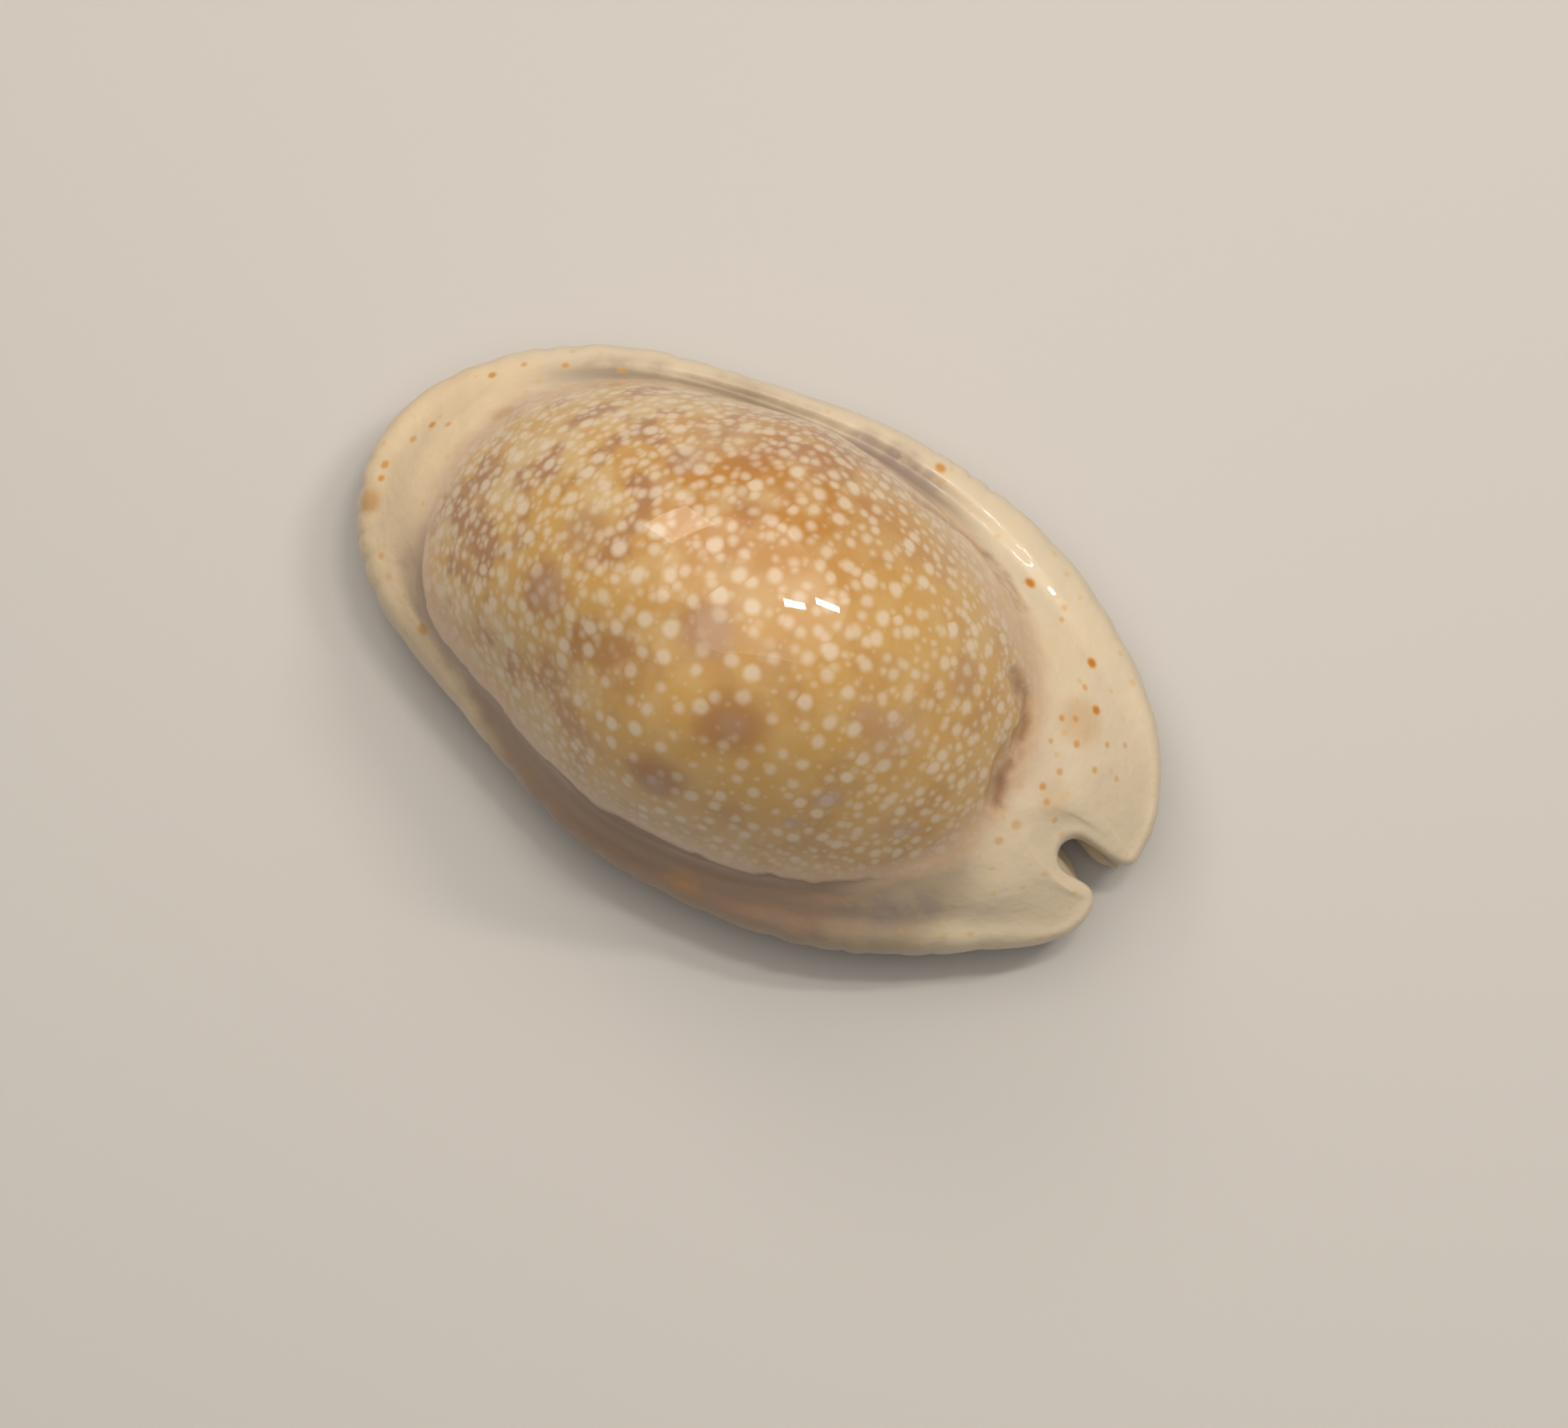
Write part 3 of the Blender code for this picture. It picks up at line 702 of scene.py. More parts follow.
@dataclass
class Net:
    """All rows of the shell's surface, from the summit outside to the summit inside."""

    columns: Columns = field(default_factory=Columns)
    notch: Notch = field(default_factory=Notch)
    dome: Dome = field(default_factory=Dome)
    dome_rows: int = 60
    ring_rows: tuple[int, ...] = (8, 7, 5, 5, 4, 5, 8, 8, 5, 5, 4, 4, 5, 5)
    vault_rows: int = 9
    tooth: float = 0.36
    groove: float = 0.5
    tooth_rise: Span = (8, 9.5)
    tooth_fall: Span = (10.5, 12)
    outer_groove: Span = (4.3, 8.3)
    inner_groove: Span = (7.3, 8.2)
    groove_fall: Span = (9.5, 11)

    def rings(self) -> tuple[Array, ...]:
        """The fifteen rings from the dome's foot to the vault's foot.

        Returns:
            The rings in order.
        """
        callus = Callus(self.columns, self.notch, Margin(self.columns, self.notch), self.dome)
        slit = Slit(self.columns, self.notch)
        upper = callus.rings()
        rim = slit.rim(upper[-1], callus.away)
        base = Underside(self.columns, slit).rings(upper[-1], rim)
        return (*upper, *base, *slit.rings(callus.foot, rim, self.dome.wall))

    def add_teeth(self, row: Array, ring: float) -> Array:
        """Raise the teeth on a row.

        Args:
            row: The points of the row.
            ring: The ring it lies on, or how far it is on the way to the next one.

        Returns:
            The same row.
        """
        crest, groove = self.columns.teeth()
        side = self.columns.side
        lip = ease(ring, *self.tooth_rise) * (1 - ease(ring, *self.tooth_fall))
        row[:, 1] -= side * self.tooth * crest * lip
        row[:, 2] += self.groove * groove * self.cut(ring)
        return row

    def cut(self, ring: float) -> Array:
        """How far the grooves between the teeth are cut at a place among the rings."""
        outer, inner = ease(ring, *self.outer_groove), ease(ring, *self.inner_groove)
        return np.where(self.columns.side < 0, outer, inner) * (1 - ease(ring, *self.groove_fall))

    def rows(self) -> tuple[Array, Array]:
        """The rows of points between the two summits, and the place of each row among the rings.

        Returns:
            The rows and their places.
        """
        shape = self.rings()
        bulge = self.dome.bulge(shape[0])
        rows: list[Array] = []
        zones: list[float] = []
        for step in range(1, self.dome_rows + 1):
            share = self.dome.share(step / self.dome_rows)
            rows.append(self.dome.row(shape[0], share, self.dome.height, bulge))
            zones.append(share - 1)
        for index, count in enumerate(self.ring_rows):
            before = shape[index - 1] if index else 2 * shape[0] - shape[1]
            after = shape[min(index + 2, len(shape) - 1)]
            for step in range(1, count + 1):
                part = step / count
                row = between(before, shape[index], shape[index + 1], after, part)
                row = self.add_teeth(row, index + part)
                row[:, 2] = np.maximum(row[:, 2], 0)
                rows.append(row)
                zones.append(index + part)
        top = self.dome.height - self.dome.wall
        for step in range(1, self.vault_rows):
            share = self.dome.share(1 - step / self.vault_rows)
            rows.append(self.dome.row(shape[-1], share, top, bulge))
            zones.append(Ring.VAULT.value + 1 - share)
        return np.array(rows), np.array(zones)


def rise_of(rows: Array, zones: Array) -> Array:
    """Distance from the dome's foot along each column, up the dome or, below 0, out.

    Args:
        rows: The points of the net.
        zones: The place of each row among the rings.

    Returns:
        The distance of each point.
    """
    step = np.linalg.norm(np.diff(rows, axis=0), axis=2)
    walked = np.concatenate((np.zeros((1, rows.shape[1])), np.cumsum(step, axis=0)))
    return walked[int(np.argmin(np.abs(zones)))] - walked


@dataclass(frozen=True)
class Lumps:
    """Smooth noise over the net: its depth, the size of its lumps and where in the noise it starts."""

    depth: float
    size: float
    start: float

    def on(self, rows: Array) -> Array:
        """The noise at each point, mostly between -depth and depth.

        Args:
            rows: The points of the net.

        Returns:
            How far each point is pushed out.
        """
        flat = (rows / self.size + self.start).reshape(-1, 3)
        found = [noise.noise(Vector(place)) for place in flat]
        return self.depth * np.array(found).reshape(rows.shape[:2])


@dataclass(frozen=True)
class Scallops:
    """The waves along the margin, of uneven length and depth."""

    pitch: float = 1.8
    depth: float = 0.17
    drift: float = 1.4
    drift_length: float = 6.0
    drift_start: Span = (0.5, 0.2)
    fade: Span = (0.5, 1.2)
    fade_length: float = 5.0
    fade_start: Span = (7.5, 1.2)
    blunt: float = 0.05
    middle: float = 0.8

    def on(self, line: Array) -> Array:
        """How far each point of the margin is pushed out.

        Args:
            line: The margin.

        Returns:
            The push of each point.
        """
        step = np.linalg.norm(np.roll(line, -1, axis=0) - line, axis=1)
        walked = np.concatenate(([0], np.cumsum(step)[:-1]))
        drift, fade = (
            np.array([noise.noise(Vector((place / length, *start))) for place in walked])
            for length, start in ((self.drift_length, self.drift_start), (self.fade_length, self.fade_start))
        )
        wave = np.abs(np.sin(math.pi * (walked / self.pitch + self.drift * drift)))
        share = np.clip(raised(self.fade, fade), 0, 1)
        return self.depth * (np.sqrt(wave + self.blunt) - self.middle) * share


@dataclass
class Relief:
    """The small forms on the net: the soft foot of the dome, the creases and the lumpy edge."""

    fillet_rows: int = 9
    fillet_rounds: int = 24
    fillet_pull: float = 0.5
    crease: tuple[Span, ...] = (
        (-11.9, -3.5), (-12.7, -3.0), (-13.3, -2.0), (-13.5, -0.7), (-13.4, 0.8), (-13.9, 2.1),
    )
    lip_crease: tuple[Span, ...] = (
        (-3.8, -8.7), (-5.4, -8.8), (-6.8, -8.7), (-8.3, -8.6), (-9.4, -7.8), (-10.8, -7.2),
    )
    crease_depth: float = 0.35
    crease_width: float = 0.34
    crease_fade: Span = (-4.0, -1.0)
    crease_wander: Lumps = Lumps(0.35, 1.3, 8.7)
    lip_crease_width: float = 0.22
    lip_crease_share: float = 0.7
    lumps: Lumps = Lumps(0.07, 1.6, 3.1)
    lumps_start: Span = (0.1, 1.5)
    scallops: Scallops = Scallops()
    scallops_start: Span = (1.9, 3.4)
    scallops_end: Span = (3.8, 5.0)
    ledge_rise: float = 0.5
    ledge_rags: tuple[Lumps, ...] = (Lumps(0.49, 2.2, 11.3), Lumps(0.21, 0.7, 5.9))
    ledge_depth: float = 0.14
    ledge_step: Span = (-0.12, 0.12)
    ledge_fall: Span = (0.2, 2.5)
    ledge_lean: float = 0.1
    ledge_side: Span = (0.2, 3.4)
    ledge_back: Span = (-12.0, -8.0)

    def soften(self, rows: Array, zones: Array) -> None:
        """Round the corner between the dome and the callus, in place.

        Args:
            rows: The points of the net.
            zones: The place of each row among the rings.
        """
        foot = int(np.argmin(np.abs(zones)))
        reach = np.abs(np.arange(len(rows)) - foot)
        weight = np.clip(1 - reach / self.fillet_rows, 0, 1)[:, None, None]
        for _ in range(self.fillet_rounds):
            middle = (rows[:-2] + rows[2:]) / 2
            rows[1:-1] += (middle - rows[1:-1]) * weight[1:-1] * self.fillet_pull

    def normals(self, rows: Array) -> Array:
        """Unit vectors that point out of the surface at each point of the rows.

        Args:
            rows: The points of the net.

        Returns:
            A unit vector for each point.
        """
        down = np.gradient(rows, axis=0)
        along = np.roll(rows, -1, axis=1) - np.roll(rows, 1, axis=1)
        across = np.cross(down, along)
        return across / np.maximum(np.linalg.norm(across, axis=2, keepdims=True), TINY)

    def near_line(self, rows: Array, line: tuple[Span, ...], width: float) -> Array:
        """1 on a line seen from above, falling to 0 on both sides of it.

        Args:
            rows: The points of the net.
            line: The line's corners.
            width: Distance at which a third of it is left.

        Returns:
            How near each point is.
        """
        nearest = np.full(rows.shape[:2], np.inf)
        flat = rows[..., :2]
        for start, end in zip(line, line[1:]):
            first = np.array(start)
            way = np.array(end) - first
            part = np.clip((flat - first) @ way / (way @ way), 0, 1)
            gap = np.linalg.norm(flat - first - part[..., None] * way, axis=2)
            nearest = np.minimum(nearest, gap)
        return np.exp(-(nearest / width) ** 2)

    def creases(self, rows: Array, zones: Array) -> Array:
        """How deep in one of the creases round the spire each point lies, from 0 to 1.

        Args:
            rows: The points of the net.
            zones: The place of each row among the rings.

        Returns:
            The share of the full depth at each point.
        """
        above = ease(-zones, *self.crease_fade)[:, None]
        wander = rows + self.crease_wander.on(rows)[..., None]
        spire = self.near_line(wander, self.crease, self.crease_width)
        lip = self.lip_crease_share * self.near_line(wander, self.lip_crease, self.lip_crease_width)
        return np.maximum(spire, lip) * above

    def apply(self, rows: Array, zones: Array, columns: Columns) -> None:
        """Shape the small forms, in place.

        Args:
            rows: The points of the net.
            zones: The place of each row among the rings.
            columns: The columns of the net.
        """
        self.soften(rows, zones)
        out = self.normals(rows)
        zone = zones[:, None]
        outer = ease(zone, *self.lumps_start) * (1 - ease(zone, Ring.UNDER.value, Ring.UNDER.value + 1))
        edge = ease(zone, *self.scallops_start) * (1 - ease(zone, *self.scallops_end))
        margin = rows[int(np.argmin(np.abs(zones - Ring.MARGIN.value)))]
        ledge = self.ledge(rows, rise_of(rows, zones))
        step = ease(ledge, *self.ledge_step) * (1 - ease(ledge, *self.ledge_fall))
        push = outer * self.lumps.on(rows) - self.crease_depth * self.creases(rows, zones)
        push += edge * (self.scallops.on(margin) * (1 - columns.lobe))[None, :]
        push += self.ledge_depth * step * self.on_ledge(rows)
        rows += out * push[..., None]

    def ledge(self, rows: Array, rise: Array) -> Array:
        """Distance above the ragged edge of the back's last layer, on the columella side of the front."""
        return rise - self.ledge_rise - sum(rag.on(rows) for rag in self.ledge_rags)

    def on_ledge(self, rows: Array) -> Array:
        """1 on the side where the ledge shows, falling to 0 on the outer lip's side."""
        x, y = rows[..., 0], rows[..., 1]
        return ease(y - self.ledge_lean * x, *self.ledge_side) * ease(x, *self.ledge_back)


class Value:
    """A number, colour or vector that changes over the surface, as the socket it comes from."""

    def __init__(self, graph: "Graph", socket: bpy.types.NodeSocket) -> None:
        """Keep the socket and the graph that it belongs to."""
        self.graph = graph
        self.socket = socket

    def __add__(self, other: "Value | float") -> "Value":
        """The sum."""
        return self.graph.math("ADD", self, other)

    def __radd__(self, other: float) -> "Value":
        """The sum, with the number first."""
        return self.graph.math("ADD", other, self)

    def __sub__(self, other: "Value | float") -> "Value":
        """The difference."""
        return self.graph.math("SUBTRACT", self, other)

    def __rsub__(self, other: float) -> "Value":
        """The difference, with the number first."""
        return self.graph.math("SUBTRACT", other, self)

    def __mul__(self, other: "Value | float") -> "Value":
        """The product."""
        return self.graph.math("MULTIPLY", self, other)

    def __rmul__(self, other: float) -> "Value":
        """The product, with the number first."""
        return self.graph.math("MULTIPLY", other, self)

    def __or__(self, other: "Value | float") -> "Value":
        """The larger of the two."""
        return self.graph.math("MAXIMUM", self, other)

    def step(self, start: "Value | float", end: "Value | float") -> "Value":
        """A smooth step from 0 where the value is start to 1 where it is end.

        Args:
            start: The value where the step starts.
            end: The value where it ends.

        Returns:
            The step.
        """
        sockets = {"Value": self, "From Min": start, "From Max": end, "To Min": 0.0, "To Max": 1.0}
        made = self.graph.node("MapRange", {"interpolation_type": "SMOOTHSTEP", "clamp": True}, sockets)
        return Value(self.graph, made.outputs[0])


class Graph:
    """The nodes of one material."""

    def __init__(self, name: str) -> None:
        """Start a material with its Principled shader.

        Args:
            name: The material's name.
        """
        self.material = bpy.data.materials.new(name)
        self.material.use_nodes = True
        self.tree = self.material.node_tree
        self.surface = self.tree.nodes["Principled BSDF"]

    def node(
        self, kind: str, settings: dict[str, object], sockets: dict[str | int, object]
    ) -> bpy.types.Node:
        """Add a node.

        Args:
            kind: The node's type, without the words that all of them start with.
            settings: Its own settings, which are set first.
            sockets: Numbers, colours, vectors or values for its sockets.

        Returns:
            The node.
        """
        made = self.tree.nodes.new("ShaderNode" + kind)
        for name, setting in settings.items():
            setattr(made, name, setting)
        for name, given in sockets.items():
            self.join(made.inputs[name], given)
        return made

    def join(self, socket: bpy.types.NodeSocket, given: object) -> None:
        """Link a value to a socket, or set a plain number, colour or vector on it.

        Args:
            socket: The socket to fill.
            given: What goes into it.
        """
        if isinstance(given, Value):
            self.tree.links.new(given.socket, socket)
        elif socket.type == "RGBA":
            socket.default_value = (*given, 1.0)
        else:
            socket.default_value = given

    def math(self, operation: str, first: "Value | float", second: "Value | float") -> Value:
        """A Math node's result."""
        made = self.node("Math", {"operation": operation}, {0: first, 1: second})
        return Value(self, made.outputs[0])

    def vector(self, operation: str, first: object, second: object) -> Value:
        """A Vector Math node's result."""
        made = self.node("VectorMath", {"operation": operation}, {0: first, 1: second})
        return Value(self, made.outputs["Value" if operation == "DISTANCE" else "Vector"])

    def blend(self, share: "Value | float", first: object, second: object) -> Value:
        """A colour that is the first where share is 0 and the second where it is 1."""
        made = self.node("Mix", {"data_type": "RGBA", "clamp_factor": True}, {0: share, 6: first, 7: second})
        return Value(self, made.outputs[2])

    def attribute(self, name: str) -> Value:
        """A number kept at the points of the mesh."""
        made = self.node("Attribute", {"attribute_type": "GEOMETRY", "attribute_name": name}, {})
        return Value(self, made.outputs["Fac"])

    def place(self) -> Value:
        """The place on the shell in millimetres."""
        made = self.node("TexCoord", {}, {})
        return self.vector("MULTIPLY", Value(self, made.outputs["Object"]), (1 / MM,) * 3)

    def parts(self, vector: Value) -> tuple[Value, Value, Value]:
        """The x, y and z of a vector."""
        made = self.node("SeparateXYZ", {}, {0: vector})
        return tuple(Value(self, made.outputs[axis]) for axis in range(3))

    def noise(self, place: Value, size: float, detail: float) -> Value:
        """Cloudy noise from 0 to 1, with clouds about as large as size in millimetres.

        Args:
            place: Where the noise is looked up.
            size: Size of its clouds.
            detail: How many finer layers it has.

        Returns:
            The noise.
        """
        sockets = {"Vector": place, "Scale": 1 / size, "Detail": detail}
        made = self.node("TexNoise", {"noise_dimensions": "3D"}, sockets)
        return Value(self, made.outputs[0])

    def cells(self, place: Value, size: float) -> tuple[Value, Value]:
        """Distance in millimetres from the nearest of many scattered points, and its random number.

        Args:
            place: The place on the flat surface.
            size: How far apart the points are.

        Returns:
            The distance and the number.
        """
        sockets = {"Vector": place, "Scale": 1 / size, "Randomness": SCATTER}
        made = self.node("TexVoronoi", {"voronoi_dimensions": "2D", "feature": "F1"}, sockets)
        chance = self.node("SeparateColor", {}, {0: Value(self, made.outputs["Color"])})
        return Value(self, made.outputs["Distance"]) * size, Value(self, chance.outputs[0])

    def flat_place(self) -> Value:
        """The place on the surface when it is laid out flat round the summit, in millimetres.

        Returns:
            The flat place.
        """
        sockets = {0: self.attribute("flat_x"), 1: self.attribute("flat_y")}
        made = self.node("CombineXYZ", {}, sockets)
        return Value(self, made.outputs[0])

    def finish(self, name: str, given: object) -> None:
        """Give one of the shader's own sockets its value."""
        self.join(self.surface.inputs[name], given)


@dataclass(frozen=True)
class Mark:
    """One soft round mark on the shell, whose edge fades between two shares of its radius."""

    place: Place
    radius: float
    strength: float = 1.0
    edge: Span = (1.25, 0.35)

    def on(self, place: Value) -> Value:
        """How much of the mark there is at a place.

        Args:
            place: The place on the shell.

        Returns:
            The share of the mark.
        """
        away = place.graph.vector("DISTANCE", place, self.place)
        outer, inner = (self.radius * share for share in self.edge)
        return away.step(outer, inner) * self.strength


def marks(place: Value, chosen: tuple[Mark, ...]) -> Value:
    """The strongest of several marks at a place.

    Args:
        place: The place on the shell.
        chosen: The marks to choose from.

    Returns:
        The share of the strongest mark.
    """
    found = chosen[0].on(place)
    for mark in chosen[1:]:
        found = found | mark.on(place)
    return found


BROWN_PATCHES = (
    Mark((-1.87, 5.55, 18.29), 1.9),
    Mark((0.29, 8.96, 15.06), 1.7),
    Mark((3.17, -5.9, 17.32), 1.4, 0.6),
    Mark((3.68, 5.53, 17.48), 1.6, 0.5),
    Mark((6.93, 6.64, 14.29), 1.3, 0.7),
    Mark((-10.03, -1.76, 14.99), 1.3, 0.6),
    Mark((8.85, 3.7, 16.1), 1.8, 0.8),
    Mark((0.99, 2.44, 19.67), 1.9, 0.6),
    Mark((8.36, 0.65, 17.25), 1.5, 0.8),
    Mark((5.5, 8.05, 13.43), 1.1, 0.8),
    Mark((5.13, -6.34, 15.99), 1.5, 0.6),
)
LILAC_PATCHES = (
    Mark((-7.01, 2.18, 17.85), 0.5, 0.6),
    Mark((0.29, 9.3, 14.6), 0.7),
    Mark((-7.11, 6.13, 14.97), 0.75),
    Mark((-10.79, 5.36, 11.64), 0.7),
    Mark((-8.43, 2.55, 16.62), 1.8, 0.5),
    Mark((-6.1, 7.71, 13.54), 0.6),
    Mark((0.99, 2.44, 19.67), 1.3, 0.7),
    Mark((-1.87, 5.55, 18.29), 0.8, 0.5),
    Mark((5.64, -4.58, 17.2), 1.1, 0.6),
    Mark((8.85, 3.7, 16.1), 1.2, 0.5),
)
# Dark grey-brown marks on the callus: the first three are the shell's own blotch along the outer lip, the
# last three are painted shade on the columella side near the spire end.
STAINS_AND_SHADE = (
    Mark((-2.12, -10.58, 6.57), 1.3, 0.9),
    Mark((-0.24, -10.73, 6.5), 1.1, 0.7),
    Mark((-3.81, -10.56, 6.36), 0.8, 0.6),
    Mark((-9.9, 9.1, 6.1), 1.0, 0.6),
    Mark((-11.3, 8.5, 6.2), 1.3, 0.9),
    Mark((-12.8, 7.5, 6.3), 1.2, 0.8),
)
OCHRE = (
    Mark((19.5, 2.4, 5.3), 0.8, 0.9),
    Mark((-2.3, 11.7, 5.7), 1.0, 0.45),
    Mark((15.5, -3.85, 8.17), 0.7, 0.7),
    Mark((-15.6, -3.6, 7.5), 1.4, 0.5),
    Mark((-16.2, 0.4, 7.9), 1.0, 0.3),
)
SPECKS = (
    Mark((-10.35, -8.52, 6.51), 0.36),
    Mark((-14.72, -6.52, 6.16), 0.34),
    Mark((-15.95, -4.49, 6.83), 0.3),
    Mark((-12.35, -8.31, 6.19), 0.22, 0.5),
    Mark((-12.5, -7.69, 6.37), 0.2, 0.5),
    Mark((-14.98, -5.2, 6.95), 0.22, 0.6),
    Mark((-14.68, -3.21, 8.01), 0.22, 0.7),
    Mark((-15.3, -3.56, 7.65), 0.22, 0.7),
    Mark((-14.71, -1.94, 8.33), 0.2, 0.6),
    Mark((-15.9, -2.5, 7.71), 0.24, 0.7),
    Mark((-17.17, -3.3, 6.6), 0.2, 0.6),
    Mark((-17.94, -3.79, 5.73), 0.2, 0.5),
    Mark((-17.19, -1.87, 7.12), 0.22, 0.6),
    Mark((-18.3, -2.1, 6.13), 0.2, 0.5),
    Mark((-15.78, -0.9, 8.06), 0.22, 0.6),
    Mark((-15.4, 0.13, 8.32), 0.24, 0.7),
    Mark((-15.9, 0.66, 8.11), 0.22, 0.6),
    Mark((-16.63, 1.18, 7.49), 0.2, 0.5),
    Mark((-15.14, 2.33, 8.31), 0.3, 0.5),
    Mark((-14.75, 3.36, 8.2), 0.26, 0.5),
    Mark((-13.58, 4.02, 8.45), 0.3, 0.5),
    Mark((-3.99, -11.55, 6.36), 0.36, 0.8),
    Mark((17.33, -5.69, 5.71), 0.26, 0.8),
    Mark((16.2, -6.86, 5.72), 0.2, 0.6),
    Mark((14.33, -7.66, 6.12), 0.24, 0.7),
    Mark((11.78, -8.65, 6.32), 0.3, 0.6),
    Mark((18.66, -2.12, 6.22), 0.26, 0.8),
    Mark((17.88, -2.4, 6.86), 0.22, 0.6),
    Mark((19.18, -1.12, 5.96), 0.26, 0.6),
    Mark((19.84, 0.57, 5.56), 0.28, 0.7),
    Mark((19.66, 1.26, 5.67), 0.22, 0.8),
    Mark((17.84, 4.63, 5.95), 0.24, 0.5),
    Mark((14.34, 6.92, 6.43), 0.4, 0.7),
)


@dataclass(frozen=True)
class Tint:
    """A colour and how far it covers what it is laid on."""

    colour: Colour
    cover: float = 1.0

    def over(self, share: Value, below: object) -> Value:
        """The colour laid over another one, as far as share goes."""
        return share.graph.blend(share * self.cover, below, self.colour)


@dataclass(frozen=True)
class Rag:
    """Cloudy noise that makes an edge ragged: its size, its detail and its depth in millimetres."""

    size: float
    detail: float
    depth: float

    def on(self, place: Value) -> Value:
        """How far the edge is moved at a place."""
        return (place.graph.noise(place, self.size, self.detail) - 0.5) * self.depth


@dataclass(frozen=True)
class Pool:
    """A wide round field with a ragged edge."""

    middle: Place
    edge: Span
    rag: Rag

    def on(self, place: Value) -> Value:
        """How much of the field there is at a place."""
        away = place.graph.vector("DISTANCE", place, self.middle)
        return (away + self.rag.on(place)).step(*self.edge)


@dataclass(frozen=True)
class Clouds:
    """Patches of cloudy noise: their size, their detail and the two values between which they fade in."""

    size: float
    detail: float
    edge: Span
    shift: Place = (0.0, 0.0, 0.0)

    def on(self, place: Value) -> Value:
        """How much of a patch there is at a place."""
        moved = place.graph.vector("ADD", place, self.shift)
        return place.graph.noise(moved, self.size, self.detail).step(*self.edge)


@dataclass(frozen=True)
class Spots:
    """One layer of soft round spots, whose radius and strength are a least size and what chance adds."""

    pitch: float
    radii: Span
    soft: float
    cover: float = 1.0
    shift: Place = (0.0, 0.0, 0.0)
    stretch: Place = (1.0, 1.0, 1.0)
    strength: Span = (0.6, 0.4)

    def on(self, flat: Value) -> Value:
        """How much of a spot there is at a place on the flat surface.

        Args:
            flat: The place on the flat surface.

        Returns:
            The share of a spot.
        """
        graph = flat.graph
        moved = graph.vector("MULTIPLY", graph.vector("ADD", flat, self.shift), self.stretch)
        away, chance = graph.cells(moved, self.pitch)
        radius = raised(self.radii, chance)
        covered = away.step(radius + self.soft, radius - self.soft)
        return covered * raised(self.strength, chance) * self.cover


